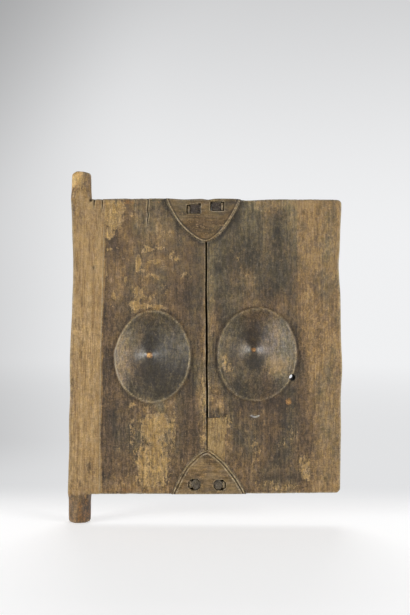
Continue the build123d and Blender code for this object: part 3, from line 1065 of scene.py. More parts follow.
cleat_bodies = {}
for cleat in (top_cleat, bottom_cleat):
    for plank in (left_plank, right_plank):
        chisel(plank, cleat.pocket())
    cleat_bodies[cleat.name] = carve(cleat)
    print(cleat.name, "let into both planks")

# %% [markdown]
# ## Hewing small bars
# Pegs and wedges are short bars with their grain along y. The end that shows is end grain: it has
# dried, cracked from the middle outwards and rounded at its rim. Rings that grow from the middle of
# the face carry that relief, and the rings behind them make the rough long sides.


# %% Hewn bars
FACE_RINGS = ((0.03, 0), (0.2, 0), (0.4, 0), (0.6, 0), (0.76, 0), (0.88, 0.05), (0.95, 0.25), (0.985, 0.6))
TAIL_RINGS = ((0.97, 0.5), (0.9, 0.15), (0.7, 0), (0.4, 0), (0.1, 0))


def bar_section(x_low, x_high, z_low, z_high, bevel, count=14):
    """A bevelled rectangle as a ring of points, with count points on each of its eight sides."""
    corners = np.array([
        (x_low + bevel, z_low), (x_high - bevel, z_low), (x_high, z_low + bevel), (x_high, z_high - bevel),
        (x_high - bevel, z_high), (x_low + bevel, z_high), (x_low, z_high - bevel), (x_low, z_low + bevel),
    ])
    t = (np.arange(count) / count)[:, None]
    sides = zip(corners, np.roll(corners, -1, 0))
    return np.concatenate([start * (1 - t) + end * t for start, end in sides])


def hewn_bar(name, section, y_front, y_back, seed, crack_angle, knobs=0.35, taper=None):
    """A bar along y with a cracked, rounded front face and rough sides."""
    middle = section.mean(0)
    beside_crack = np.array([-math.sin(crack_angle), math.cos(crack_angle)])

    def ring_at(scale, y, relief):
        ring = middle + (section - middle) * scale
        if taper is not None:
            ring = taper(ring, y)
        x, z = ring.T
        crack = 0.7 * bell((ring - middle) @ beside_crack, 0.4) * min(1.0, 1.4 - scale)
        lumps = soft_noise(x, z, 3.2, 3.2, seed) + 0.4 * soft_noise(x, z, 1.3, 1.3, seed + 1)
        around = np.arange(len(ring)) / 6.0
        rough = 1 - 0.018 * (1 + soft_noise(around, 0 * around + y / 9, 1, 1, seed + 2))
        ring = middle + (ring - middle) * rough[:, None]
        return at_depth(ring, y + relief * (knobs + knobs * lumps + crack))

    rings = [ring_at(scale, y_front + inset, 1.0) for scale, inset in FACE_RINGS]
    rings += [ring_at(1.0, y, 0.0) for y in np.linspace(y_front + 2.0, y_back - 1.2, 16)]
    rings += [ring_at(scale, y_back - inset, -1.0) for scale, inset in TAIL_RINGS]
    return ring_skin(name, rings)


print("a peg has", len(FACE_RINGS) + 16 + len(TAIL_RINGS), "rings")

# %% [markdown]
# ## Draw pegs and wedges
# Two pegs hold each cleat. Each peg goes right through cleat and plank and stands a little out of
# the back, and a pale slip of wood driven in beside it keeps it tight. The mouths of the holes have
# worn wider than the wedges, so a black gap shows beyond each. One class holds all that belongs to a
# peg, so peg, wedge and hole always fit each other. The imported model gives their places.

# %% Draw pegs
WEDGE_THICK, WEDGE_THIN, WEDGE_LENGTH = 3.2, 1.2, 30.0
MOUTH_EXTRA, WEDGE_EXTRA, FIT_EXTRA = 5.0, 1.45, 0.25


class DrawPeg:
    """One peg, its wedge and the hole that both are driven into."""

    def __init__(self, side, row, bevel, sunk, knobs, skew, inner_gap, seed):
        self.name = f"{row}_{side}"
        self.row, self.direction = row, -1 if side == "left" else 1
        self.low, self.high = (np.array(corner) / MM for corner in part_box(self.name + "_peg"))
        self.bevel, self.sunk, self.knobs = bevel, sunk, knobs
        self.skew, self.inner_gap, self.seed = skew, inner_gap, seed
        self.face = self.low[1]
        self.outer = self.high[0] if self.direction > 0 else self.low[0]

    def peg(self):
        section = bar_section(self.low[0], self.high[0], self.low[2], self.high[2], self.bevel)
        return hewn_bar(self.name + "_peg_wood", section, self.face + self.sunk, self.high[1] - 0.1,
                        self.seed, self.seed % 3, self.knobs)

    def wedge(self):
        """The pale slip: full thickness at the face, thin at its end."""
        inset = 0.5 * self.bevel + 0.3
        ends = sorted((self.outer, self.outer + self.direction * WEDGE_THICK))
        section = bar_section(*ends, self.low[2] + inset, self.high[2] - inset - self.skew, 0.3, 5)

        def taper(ring, y):
            driven = np.clip((y - self.face) / WEDGE_LENGTH, 0, 1)
            out = np.abs(ring[:, 0] - self.outer) * (1 - driven * (1 - WEDGE_THIN / WEDGE_THICK))
            return np.stack([self.outer + self.direction * out, ring[:, 1]], -1)

        return hewn_bar(self.name + "_wedge_wood", section, self.face + 0.4 * self.sunk + 0.1,
                        self.face + WEDGE_LENGTH, self.seed + 40, 1.5, 0.3, taper)

    def hole(self):
        """The tool for the mortise, with its worn mouth."""
        steps = [(-8, MOUTH_EXTRA + 0.2), (5.5, MOUTH_EXTRA), (7.5, 2.9), (29, WEDGE_EXTRA),
                 (31, FIT_EXTRA), (PLANK_BACK + 8 - self.face, FIT_EXTRA)]
        return ring_skin(self.name + "_hole", [self.hole_ring(self.face + y, extra) for y, extra in steps])

    def hole_ring(self, y, extra):
        """The hole at depth y, with extra room on the wedge's side."""
        inner = 0.15 + self.inner_gap * (extra > 4)
        around = 0.25 + 0.5 * (extra > 4)
        low_x = self.low[0] - (extra if self.direction < 0 else inner)
        high_x = self.high[0] + (extra if self.direction > 0 else inner)
        section = bar_section(low_x, high_x, self.low[2] - around, self.high[2] + around, self.bevel, 3)
        outward = np.abs(section[:, 0] - (high_x if self.direction < 0 else low_x)) / (high_x - low_x)
        upper = section[:, 1] > 0.5 * (self.low[2] + self.high[2])
        section[:, 1] -= self.skew * outward * upper * (extra > 2)
        return at_depth(section, y)


draw_pegs = [
    DrawPeg("left", "top", 0.8, 1.9, 0.55, 3.2, 0.0, 201),
    DrawPeg("right", "top", 0.8, 1.6, 0.7, 0.8, 1.8, 211),
    DrawPeg("left", "bottom", 5.0, 0.4, 0.3, 0.0, 0.0, 221),
    DrawPeg("right", "bottom", 4.6, 0.6, 0.45, 0.0, 0.0, 232),
]
small_bodies = {}
for peg in draw_pegs:
    plank = left_plank if peg.direction < 0 else right_plank
    for body in (plank, cleat_bodies[peg.row + "_cleat_wood"]):
        chisel(body, peg.hole())
    small_bodies[peg.name + "_peg"] = peg.peg()
    small_bodies[peg.name + "_wedge"] = peg.wedge()
print(len(small_bodies), "pegs and wedges driven")

# %% [markdown]
# ## The mended seam edge
# Above the lower cleat a strip of the right plank's edge had broken away. A mender cut the break
# square, let in a strip of paler wood and pinned its corner with a square peg. One function makes
# both the strip and, grown a little, the tool that cuts its bed, so the two always fit.

# %% Patch and pin
PATCH_LEFT, PATCH_RIGHT = 207.5, 235.0
PATCH_FOOT, PATCH_HEAD = 90.0, 174.0
PATCH_DEPTH = 14.0
BED_GAP = 0.3
patch_top = through((200, 172.3), (222, 172.6), (224.5, 173.3), (228, 174.4), (240, 174.6))


def patch_skin(name, grow):
    """The strip itself, or with grow the tool that cuts its bed."""
    lines_x = grid_lines(PATCH_LEFT - grow * 12, PATCH_RIGHT + 0.3 * grow, 1.0, (PATCH_RIGHT, 1, 0.35))
    lines_z = grid_lines(PATCH_FOOT, PATCH_HEAD, 1.7, (PATCH_HEAD, 1.5, 0.4))
    i, j, k, quads = block_skin(len(lines_x), len(lines_z), 8)
    x, z, share = lines_x[i], lines_z[j], k / 7.0
    z = z + (patch_top(x) + grow - PATCH_HEAD) * ease(z, 150, PATCH_HEAD)
    x = x + 0.4 * line_noise(z, 18, 311) * ease(x, PATCH_RIGHT - 5, PATCH_RIGHT)
    if grow:
        y = -PLANK_BACK - 6 + (PATCH_DEPTH + 6) * share
    else:
        border = np.minimum(x - PATCH_LEFT, patch_top(x) - z)
        relief = 0.3 * soft_noise(x, z, 9, 40, 312) + 0.1 * rough_noise(x, z, 2.5, 40, 313) - 0.1
        relief -= 0.9 * np.clip(1 - border / 1.3, 0, 1) ** 2 + 0.25 * ease(z, 158, 160)
        front = -PLANK_BACK - relief
        y = front + (PATCH_DEPTH - PLANK_BACK - 0.1 - front) * share
    return turned_outward(to_mesh(name, np.stack([x, y, z], -1), quads))


patch = patch_skin("edge_patch_wood", 0.0)
chisel(right_plank, patch_skin("patch_bed", BED_GAP))
chisel(patch, bottom_cleat.pocket())

pin_low, pin_high = (np.array(corner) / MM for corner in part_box("patch_pin"))


def pin_section(gap):
    """The pin's outline, or with a gap that of its hole."""
    return bar_section(pin_low[0] - gap, pin_high[0] + gap, pin_low[2] - gap, pin_high[2] + gap, 0.4, 4)


for body in (right_plank, patch):
    depths = (pin_low[1] - 6, pin_low[1] + 4, pin_high[1] + 0.1)
    chisel(body, ring_skin("pin_hole", [at_depth(pin_section(BED_GAP), y) for y in depths]))
small_bodies["patch_pin"] = hewn_bar(
    "patch_pin_wood", pin_section(0.0), pin_low[1] + 0.15, pin_high[1], 321, 0.4, 0.2)
print("strip and pin let in")

# %% [markdown]
# ## The cord hole
# The hole at the rim of the second breast took the cord that held the door shut. The cord has worn
# its mouth wide and left the middle of the bore narrower, so the tool is a stack of rings whose
# radius follows a curve.

# %% Cord hole
HOLE_X, HOLE_Z, HOLE_RADIUS = 343.45, 237.6, 5.3
bore = through((-30, 6.4), (-21.5, 5.9), (-18.5, 5.3), (-10, 4.9), (5, 4.3), (14, 3.9), (18, 4.3), (24, 5.2))
around = np.linspace(0, 2 * math.pi, 48, endpoint=False)
rings = []
for y in np.linspace(-29, 23, 27):
    radius = bore(y) * (1 + 0.03 * soft_noise(around * 2.2, 0 * around + y / 9, 1, 1, 331))
    middle_x = HOLE_X - 1.3 * ease(y, -15, 10)
    outline = np.stack([middle_x + radius * np.cos(around), HOLE_Z + radius * np.sin(around)], -1)
    rings.append(at_depth(outline, y))
chisel(right_plank, ring_skin("cord_bore", rings))
print("cord hole bored,", 2 * HOLE_RADIUS, "mm wide at its mouth")

# %% [markdown]
# ## Where hands, smoke and rain have been
# The colour of old wood is a map of its use. Smoke, millet dust and greasy hands built a dark skin in
# the middle of the leaf; along both outer edges the skin was rubbed or washed off and the bare wood
# shows; between lie places where the skin has flaked and the wood glows gold. The lists name those
# places by their middle, half size and strength. First come those of the hinge-side plank.

# %% Worn places of the hinge-side plank
# flaked to gold: x, z, half width, half height, strength
left_gold = [
    (55, 506, 16, 20, 1.0), (54, 486, 14, 12, 1.0), (47, 466, 8, 10, 0.8), (84, 497, 4, 7, 0.45),
    (112, 444, 9, 4, 0.8), (104, 439, 5, 3, 0.7), (128, 446, 9, 2.5, 0.6), (95, 421, 5, 14, 0.95),
    (100, 410, 10, 5, 0.7), (122, 423, 14, 3.2, 0.95), (137, 414, 5, 2, 0.6), (117, 400, 13, 4, 0.8),
    (105, 395, 5, 6, 0.5), (147, 433, 5, 6, 0.65), (156, 426, 8, 3, 0.65), (163, 432, 4, 3, 0.45),
    (152, 405, 5, 3, 0.6), (167, 402, 8, 4, 0.6), (177, 400, 5, 3, 0.5), (75, 392, 2.5, 11, 0.65),
    (46, 398, 3, 13, 0.45), (55, 368, 3, 10, 0.5), (60, 365, 10, 2, 0.4), (95, 372, 7, 15, 0.7),
    (90, 352, 9, 8, 0.9), (104, 349, 13, 5, 0.85), (125, 350, 13, 5, 0.95), (87, 343, 6, 3, 0.7),
    (139, 378, 9, 9, 0.4), (125, 386, 11, 5, 0.4), (112, 366, 12, 4, 0.4), (50, 443, 11, 2.2, 0.6),
    (61, 445, 7, 1.6, 0.5), (71, 427, 4, 1.5, 0.5), (52, 352, 6, 4, 0.3), (124, 157, 26, 24, 0.9),
    (110, 184, 12, 10, 0.35), (119, 97, 26, 42, 0.85), (152, 160, 7, 20, 0.6), (150, 132, 6, 17, 0.5),
    (86, 150, 5, 22, 0.45), (82, 128, 4, 10, 0.5), (62, 123, 9, 2, 0.5), (86, 191, 6, 3.5, 0.75),
    (199, 205, 5, 34, 0.5), (201, 152, 3, 34, 0.5), (125, 132, 16, 22, 0.8), (132, 76, 12, 22, 0.55),
]
# soft places where the dark skin is thin
left_thin = [
    (130, 482, 62, 28, 0.72), (110, 514, 80, 12, 0.5), (115, 410, 34, 42, 0.4), (60, 390, 20, 32, 0.42),
    (160, 415, 22, 20, 0.25), (112, 352, 32, 14, 0.35), (124, 130, 32, 66, 0.62), (136, 196, 22, 9, 0.5),
    (144, 88, 10, 34, 0.35), (80, 60, 50, 13, 0.8), (110, 54, 90, 9, 0.95), (198, 212, 9, 50, 0.75),
    (201, 155, 6, 40, 0.55), (202, 310, 5, 110, 0.5), (198, 440, 5, 16, 0.35), (185, 478, 8, 10, 0.35),
    (84, 140, 9, 30, 0.25), (55, 110, 22, 20, 0.15), (150, 225, 30, 14, 0.15),
]
# very dark places; those above the tip and below it are painted shade on the breast's cone
left_black = [
    (60, 448, 18, 12, 0.25), (80, 470, 12, 14, 0.2), (120, 410, 10, 3, 0.8), (108, 430, 5, 6, 0.5),
    (178, 432, 14, 26, 0.35), (168, 384, 24, 34, 0.5), (50, 330, 16, 22, 0.35), (62, 150, 22, 60, 0.35),
    (70, 190, 12, 20, 0.35), (182, 215, 12, 26, 0.55), (178, 165, 14, 24, 0.4), (165, 112, 12, 18, 0.35),
    (120, 128, 8, 4, 0.5), (106, 118, 6, 3, 0.4), (128, 137, 6, 6, 0.4), (140, 150, 4, 14, 0.35),
    (158, 488, 5, 22, 0.5), (163, 468, 8, 8, 0.4), (46, 240, 9, 40, 0.3), (120, 322, 14, 16, 0.35),
    (118, 296, 12, 16, 0.45), (150, 205, 14, 6, 0.3), (138, 244, 32, 34, 0.75), (104, 248, 16, 20, 0.4),
    (120, 52, 90, 6, 0.35),
]
print(len(left_gold), "gold places on the hinge-side plank")

# %% [markdown]
# ## The free-side plank's places
# This plank was pulled open by its free edge, so hands have washed a broad margin bare there, and its
# border wanders. The middle is darker than on the other plank and has kept more of its skin.

# %% Worn places of the free-side plank
right_gold = [
    (212, 214, 5, 24, 0.3), (238, 163, 8, 14, 0.6), (246, 430, 5, 6, 0.4), (255, 427, 4, 4, 0.45),
    (269, 402, 6, 7, 0.4), (284, 122, 5, 30, 0.35), (362, 98, 9, 14, 0.6), (366, 84, 9, 10, 0.6),
    (337.5, 198.5, 5, 6, 0.3), (326, 130, 7, 9, 0.3), (234, 262, 4, 14, 0.6), (242, 256, 6, 8, 0.5),
    (314, 254, 13, 10, 0.35), (302, 68, 18, 5, 0.45), (345, 152, 10, 14, 0.2), (330, 60, 30, 5, 0.5),
]
right_thin = [
    (212, 360, 6, 90, 0.6), (215, 215, 9, 32, 0.45), (226, 190, 16, 14, 0.6), (239, 162, 10, 22, 0.6),
    (238, 122, 10, 20, 0.5), (217, 187, 10, 10, 0.55), (280, 512, 34, 12, 0.45),
    (270, 488, 16, 22, 0.35), (272, 394, 12, 16, 0.35), (250, 366, 12, 10, 0.25),
    (282, 354, 34, 10, 0.35), (282, 105, 14, 52, 0.4), (256, 98, 14, 40, 0.35), (345, 140, 18, 30, 0.05),
    (354, 100, 16, 26, 0.35), (322, 60, 52, 11, 0.55), (310, 100, 10, 24, 0.2), (222, 440, 12, 26, 0.2),
    (325, 350, 10, 20, 0.2), (300, 480, 12, 26, 0.2), (262, 250, 14, 16, 0.2), (306, 518, 56, 8, 0.6),
    (316, 255, 17, 14, 0.9),
]
# very dark places; those just above and below the tip are painted shade on the breast's cone
right_black = [
    (262, 430, 30, 26, 0.3), (222, 412, 8, 7, 0.7), (256, 412, 12, 8, 0.4), (292, 419, 3, 5, 0.7),
    (310, 385, 10, 40, 0.25), (320, 440, 12, 30, 0.3), (275, 192, 34, 10, 0.6), (316, 194, 22, 12, 0.85),
    (255, 180, 14, 14, 0.5), (350, 205, 14, 24, 0.4), (356, 250, 7, 34, 0.35), (330, 170, 32, 14, 0.4),
    (305, 132, 14, 12, 0.3), (330, 108, 16, 14, 0.45), (320, 76, 18, 8, 0.55), (350, 76, 12, 8, 0.5),
    (262, 140, 12, 26, 0.25), (335, 90, 10, 6, 0.5), (344, 375, 6, 12, 0.35), (352, 300, 8, 30, 0.3),
    (350, 425, 4, 16, 0.35), (220, 250, 5, 50, 0.25), (252, 490, 5, 28, 0.6), (280, 306, 16, 16, 0.5),
    (278, 322, 22, 12, 0.3), (284, 262, 22, 16, 0.4), (386, 366, 34, 50, 0.3), (270, 228, 26, 16, 0.25),
]
# how far the skin reaches towards the free edge, at each height
bare_margin = through(
    (45, 371), (110, 373), (150, 376), (180, 369), (220, 366), (260, 362), (300, 358), (330, 353),
    (360, 351), (400, 353), (440, 346), (480, 338), (525, 330),
)
print(len(right_gold), "gold places on the free-side plank")

# %% [markdown]
# ## Wear and painted light around a breast
# Hands and clothes rub what stands out, so the rim turns pale. A painted highlight lies on the flanks
# beside the tip, and painted shade darkens the cone above and below the tip, where the side lamps reach
# least. All of that follows from a point's distance to the rim and to the tip, so one function serves
# both breasts. Flaking skin has a ragged border, so the listed places are read through coordinates
# that noise has bent.


# %% Wear and painted light around a breast
def strongest_spot(x, z, places, seed, soft=0.5):
    """The strongest of many soft places, their borders pulled about as flaking skin is."""
    bent_x = x + 2.2 * rough_noise(x, z, 9, 20, seed) + 1.2 * soft_noise(x, z, 3.0, 8, seed + 5)
    bent_z = z + 5.0 * rough_noise(x, z, 10, 16, seed + 9)
    return strongest(*(strength * spot(bent_x, bent_z, *oval, soft) for *oval, strength in places))


def near_breast(breast, x, z):
    """What a breast gathers, and the light and shade painted on it, by kind, each from 0 to 1, and the reach
    from its tip.
    """
    outside = breast.outside(x, z)
    from_tip_x, from_tip_z = x - breast.tip[0], z - breast.tip[1]
    aside, reach = np.abs(from_tip_x), np.hypot(from_tip_x, from_tip_z) + 1e-6
    upright = np.abs(from_tip_z) / reach
    below_or_above = np.where(from_tip_z > 0, 1.0, 0.55)
    return SimpleNamespace(
        reach=reach,
        inside=1 - ease(outside, -2.5, 0.5),
        rim=bell(outside + 1.4, 1.3),
        hollow=bell(outside - 2.8, 2.6),
        polish=(1 - ease(reach, 7, 48)) * (1 - 0.6 * upright**2),
        # painted shade above and below the tip, where the side lamps reach least
        tip_shade=upright**5 * below_or_above * (1 - ease(reach, 18, 44)) * (reach > 4),
        # painted highlight on the flanks left and right of the tip
        film=bell(from_tip_z, 4 + 0.3 * aside) * ease(aside, 3, 6.5) * (1 - ease(aside, 9, 28)),
    )


above_tip = near_breast(left_breast, *np.array(left_tip) + (0, 12))
print("soot right above the left tip:", above_tip.tip_shade.round(2))

# %% [markdown]
# ## How each plank has worn
# Both planks carry the same kinds of wear, at different places. So each has a function that fills in
# the same list, from the dark skin and the gold to the painted sheen and shade, the cracks and the chips.


# %% The hinge-side plank's wear
def border_drift(x, z):
    """How a border of the dark skin strays to one side or the other."""
    return 3.0 * rough_noise(x, z, 14, 40, 401) + 1.5 * soft_noise(x, z, 4, 60, 402)


def hinge_plank_places(x, z, near):
    """The dark skin ends along the stile; the breast is painted lighter on its left flank, darker low on the
    right, and is grey on the right.
    """
    inside = near.inside
    border = x - stile_edge(z) + 0.6 * border_drift(x, z) + 1.1 * soft_noise(x, z, 3, 5, 412)
    dark = 0.04 + ease(border, -1.0, 3.5) * 0.7 + 0.22 * bell(border - 2.5, 2.5) * (1 - ease(z, 330, 440))
    dark += 0.13 * ease(z, 430, 500) + 0.09 * (1 - ease(z, 60, 120)) + 0.08 * soft_noise(x, z, 7, 130, 413)
    dark += 0.14 * soft_noise(x, z, 16, 34, 414) * (x < 40) + 0.12 * (1 - ease(x, -14, 2))
    # painted light: the left flank faces the left lamp
    lit_flank = spot(x, z, 66, 268, 14, 50, 0.7) * inside
    grey_flank = spot(x, z, 150, 272, 30, 40, 0.8) * inside
    # painted light on the flank's upper left and painted shade on its lower right
    flank_light_and_shade = 0.2 * spot(x, z, 84, 300, 18, 20, 0.8) - 0.14 * spot(x, z, 136, 222, 36, 28, 0.9)
    grey = 0.05 + 0.2 * ease(z, 430, 520) + 0.25 * ease(x, 40, 60) + 0.35 * inside + 0.4 * grey_flank
    grey += 0.08 * (1 - ease(z, 200, 330)) * ease(z, 60, 110) * ease(x, 36, 44)
    # painted highlight beside the tip, strong on its left
    film = near.film * np.where(x < left_tip[0], 0.2, 0.04)
    # painted highlight on the left part of the rim, which faces the left lamp
    lit_left_rim = 0.42 * near.rim * spot(x, z, 58, 262, 16, 64, 0.7)
    # painted highlight on the nub's left side
    nub_glint = spot(x, z, left_tip[0] - 1.2 * left_breast.tip_radius, left_tip[1] + 1, 2.2, 1.8)
    return SimpleNamespace(
        dark=dark, grey=grey, lit_flank=lit_flank, flank_light_and_shade=flank_light_and_shade * inside,
        gold=strongest_spot(x, z, left_gold, 410), flaking=1 - 0.85 * inside * (near.reach > 5),
        thin=strongest_spot(x, z, left_thin, 420, 0.8), black=strongest_spot(x, z, left_black, 430, 0.7),
        # the rim's paleness is wear, painted stronger on the left and right sides that face the lamps
        rim_wear_and_light=0.97 + 0.3 * spot(x, z, 60, 250, 40, 60, 0.8) + 0.3 * spot(x, z, 182, 262, 12, 50, 0.8),
        # painted sheen: beside the tip, on the right flank, on the lit left flank and on the lit left rim
        film=strongest(film, 0.06 * spot(x, z, 146, 284, 34, 26, 0.8), 0.1 * lit_flank, lit_left_rim),
        cracked=0.85 * np.minimum(1, sum(in_crack(x, z, crack, 1.5) for crack in top_cracks)),
        chip_and_glint=nub_glint, beside_patch=0 * x, dents=left_dents, nub=1.0,
    )


print("hinge-side plank's wear listed")

# %% [markdown]
# On the free side the skin starts at the bare margin and fades over a wider band, since hands kept
# reaching further in. Dirt outlines the mended edge and a line scored above it.


# %% The free-side plank's wear
def free_plank_places(x, z, near):
    """The dark skin ends at the bare margin, and dirt outlines the mended edge."""
    inside = near.inside
    border = bare_margin(z) - x + 1.6 * border_drift(x, z)
    # painted light on the breast's left flank
    lit_flank = 0.5 * spot(x, z, 232, 275, 12, 42, 0.7) * inside
    grey_flank = spot(x, z, 324, 290, 22, 46, 0.8) * inside
    joint = bell(z - patch_top(x), 1.3) * (x < PATCH_RIGHT + 2)
    scored_line = 0.8 * bell(z - 178, 1.1) * spot(x, z, 234, 178, 8, 4, 0.4)
    split_above = 0.6 * spot(x, z, 224, 184, 2.2, 7, 0.6)
    return SimpleNamespace(
        dark=0.3 + ease(border, -14, 10) * 0.46, lit_flank=lit_flank,
        grey=0.4 + 0.3 * ease(z, 300, 420) * (x < 350) + 0.25 * inside + 0.3 * grey_flank,
        # painted light on the right flank and painted shade low on the breast
        flank_light_and_shade=0.3 * grey_flank - 0.1 * spot(x, z, 285, 215, 34, 16, 0.9) * inside,
        gold=strongest_spot(x, z, right_gold, 450), flaking=1.0,
        thin=strongest_spot(x, z, right_thin, 460, 0.8), black=strongest_spot(x, z, right_black, 470, 0.7),
        # the rim's paleness is wear, painted stronger on the right side that faces the right lamp
        rim_wear_and_light=0.6 + 0.4 * ease(x, 320, 345),
        # painted sheen beside the tip and on the right flank, which faces the right lamp
        film=np.maximum(0.16 * near.film, 0.13 * spot(x, z, 318, 298, 24, 30, 0.8)),
        cracked=strongest(joint, scored_line, split_above),
        chip_and_glint=bell(np.hypot(x - 283.5, z - 181.5) - 8.0, 1.2) * (z < 176.5),
        beside_patch=spot(x, z, PATCH_RIGHT, 132, 2.5, 42, 0.2), dents=right_dents, nub=0.75,
    )


print("free-side plank's wear listed")

# %% [markdown]
# ## Skin, gold, grey and amber
# Now the kinds are weighed against each other. Dark skin covers the breast and thins where it was
# listed as thin. Gold can't show where the skin is very dark. Warm amber wood is the youngest: it
# shows on the rubbed nubs, at one knock and along both ends of the leaf, where rain has washed it.


# %% The face's colours
def face_wear(x, z, near, places):
    """Dark skin, gold and greying of the carved face."""
    # the flanks' painted light and shade lighten or darken the skin
    dark = np.maximum(places.dark, 0.78 * near.inside) - 0.45 * places.lit_flank - places.flank_light_and_shade
    # painted shade above and below the tip darkens the skin here
    dark += 0.3 * places.black - 0.6 * places.thin + 0.05 * near.hollow + 0.4 * near.tip_shade * near.inside
    dark += 0.12 * rough_noise(x, z, 14, 34, 406) - 0.3 * near.rim * places.rim_wear_and_light
    gold = places.gold * places.flaking - 0.3 * places.black * (places.gold < 0.95)
    grey = places.grey + 0.3 * soft_noise(x, z, 30, 90, 403) - 0.1 * places.lit_flank - 0.1
    return dark, gold, grey


def amber_wood(x, z, breast, near, places):
    """Warm young wood on the nub, at a knock and along both ends."""
    nub = places.nub * (1 - ease(near.reach, 0.5 * breast.tip_radius, 1.3 * breast.tip_radius))
    knock = 0.7 * spot(x, z, 337.5, 198.5, 4.6, 5.5, 0.6)
    head_end = 0.46 * bell(top_edge(x) - z - 6, 6) * spot(x, z, 76, 518, 54, 30, 0.4)
    foot_end = 0.36 * bell(z - 55, 7) * spot(x, z, 90, 50, 110, 30, 0.4)
    ends = np.maximum(head_end, foot_end) * (0.7 + 0.8 * rough_noise(x, z, 18, 7, 415))
    return strongest(nub, knock, ends)


def pintle_wear(x, y, z, front, dark, gold, grey, amber):
    """The pintles: the foot is brown, the head gold on the side that turned in the lintel."""
    head, foot = ease(z, 527, 545), 1 - ease(z, 25, 80)
    at_stub = np.maximum(ease(z, 520, 530), 1 - ease(z, 42, 52))
    shaded = ease(x + 3 * rough_noise(x, z, 9, 14, 416), 1, 12) * at_stub
    patchy = 0.75 + 0.6 * rough_noise(x, z + y, 6, 9, 408)
    gold = np.maximum(gold, 1.1 * ease(z, 532, 552) * (1 - 0.9 * shaded) * patchy)
    dark = dark + 0.4 * foot * (x < 30) + 0.16 * head + 0.3 * shaded
    grey = grey * (1 - 0.8 * np.maximum(foot, head))
    upper_stile = 0.3 * spot(x, z, 52, 488, 16, 26, 0.6) * front
    golden = ease(z - 1.2 * x + 9 * rough_noise(x, z + y, 7, 9, 417), 545, 562) * (1 - ease(x, 2, 9))
    brown_foot = 0.3 * foot * (x < 24) * (0.8 + 0.8 * rough_noise(x, z + y, 9, 15, 418))
    return dark, gold, grey, strongest(amber, upper_stile, golden, brown_foot)


print("skin, gold, grey and amber can be weighed")

# %% [markdown]
# ## Dirt, painted shade and rubbed edges
# Dirt stays where no hand reaches: in hollows, cracks, dents, joints and around the cord hole. A painted
# shadow lies beside the cleats, and painted shade along the top edge and below the nub. Rubbing does the
# opposite, so every sharp convex edge turns pale. That needs no list: where the normals of two
# neighbouring points lean apart, the surface is convex, and the mesh tells it.


# %% Dirt, painted shade and pale edges
def face_dirt_and_shade(x, z, breast, near):
    """Dirt and painted shade of the carved face."""
    # painted shade along the rounded top edge
    shade_along_top = bell(top_edge(x) - z, 2.2) * (x > 18) * (0.7 + 0.5 * soft_noise(x, z, 9, 9, 411))
    # painted shadow that the raised cleats cast beside their borders
    shadow_beside_cleat = np.maximum(bell(top_cleat.reach(x, z), 4.5), 0.6 * bell(bottom_cleat.reach(x, z), 3.0))
    # painted shade in a ring below the nub
    shade_below_nub = bell(near.reach - 1.35 * breast.tip_radius, 1.2) * (z < breast.tip[1] + 1)
    around_hole = bell(np.hypot(x - HOLE_X, z - HOLE_Z) - HOLE_RADIUS, 1.8)
    return 0.1 * near.hollow + 0.8 * shade_along_top + 0.45 * shadow_beside_cleat + 0.6 * around_hole + 0.9 * shade_below_nub


def pit_dirt(x, z, dents):
    """Dirt in the deeper dents."""
    return strongest(*(min(1.0, 0.55 * deep) * spot(x, z, *oval) for *oval, deep in dents if deep > 0.65))


def pale_edges(body):
    """1 where the surface is sharply convex, so that hands rub it pale."""
    count = len(body.data.vertices)
    normals, points = read(body.data.vertex_normals, "vector", 3), points_of(body).T
    first, second = read(body.data.edges, "vertices", 2, np.int32).T
    step = points[second] - points[first]
    length = np.linalg.norm(step, axis=1) + 1e-6
    turn = ((normals[second] - normals[first]) * step).sum(1) / length**2
    total, times = np.zeros(count), np.zeros(count)
    for end in (first, second):
        np.add.at(total, end, turn)
        np.add.at(times, end, 1)
    return ease(total / np.maximum(times, 1), 0.02, 0.22)


print("sharp points on the hinge-side plank:", int((pale_edges(left_plank) > 0.5).sum()))

# %% [markdown]
# ## Painting the wear and the painted light on the planks
# Each point of a mesh can carry colours of its own. Two colours with alpha hold eight numbers from 0
# to 1, and the finish reads them: dark skin, gold, greying and amber; polish, dirt with painted shade,
# pale edges, and a pale painted sheen that also whitens chips. The back and the pintles aren't the carved
# face, so they get values of their own.

# %% Painting the wear
WEAR_LAYERS = {
    "wear_skin": ("dark", "gold", "grey", "amber"),
    # the second layer holds polish, dirt with painted shade, pale edges, and a painted sheen with pale chips
    "wear_touch": ("polish", "grime", "edge", "film"),
}


def carry(body, **wear):
    """Stores the eight wear values of every point as two colours with alpha."""
    for layer_name, kinds in WEAR_LAYERS.items():
        layer = body.data.color_attributes.new(layer_name, "FLOAT_COLOR", "POINT")
        colour = np.zeros((len(body.data.vertices), 4), np.float32)
        for channel, kind in enumerate(kinds):
            colour[:, channel] = np.clip(wear.get(kind, 0.0), 0, 1)
        layer.data.foreach_set("color", colour.ravel())


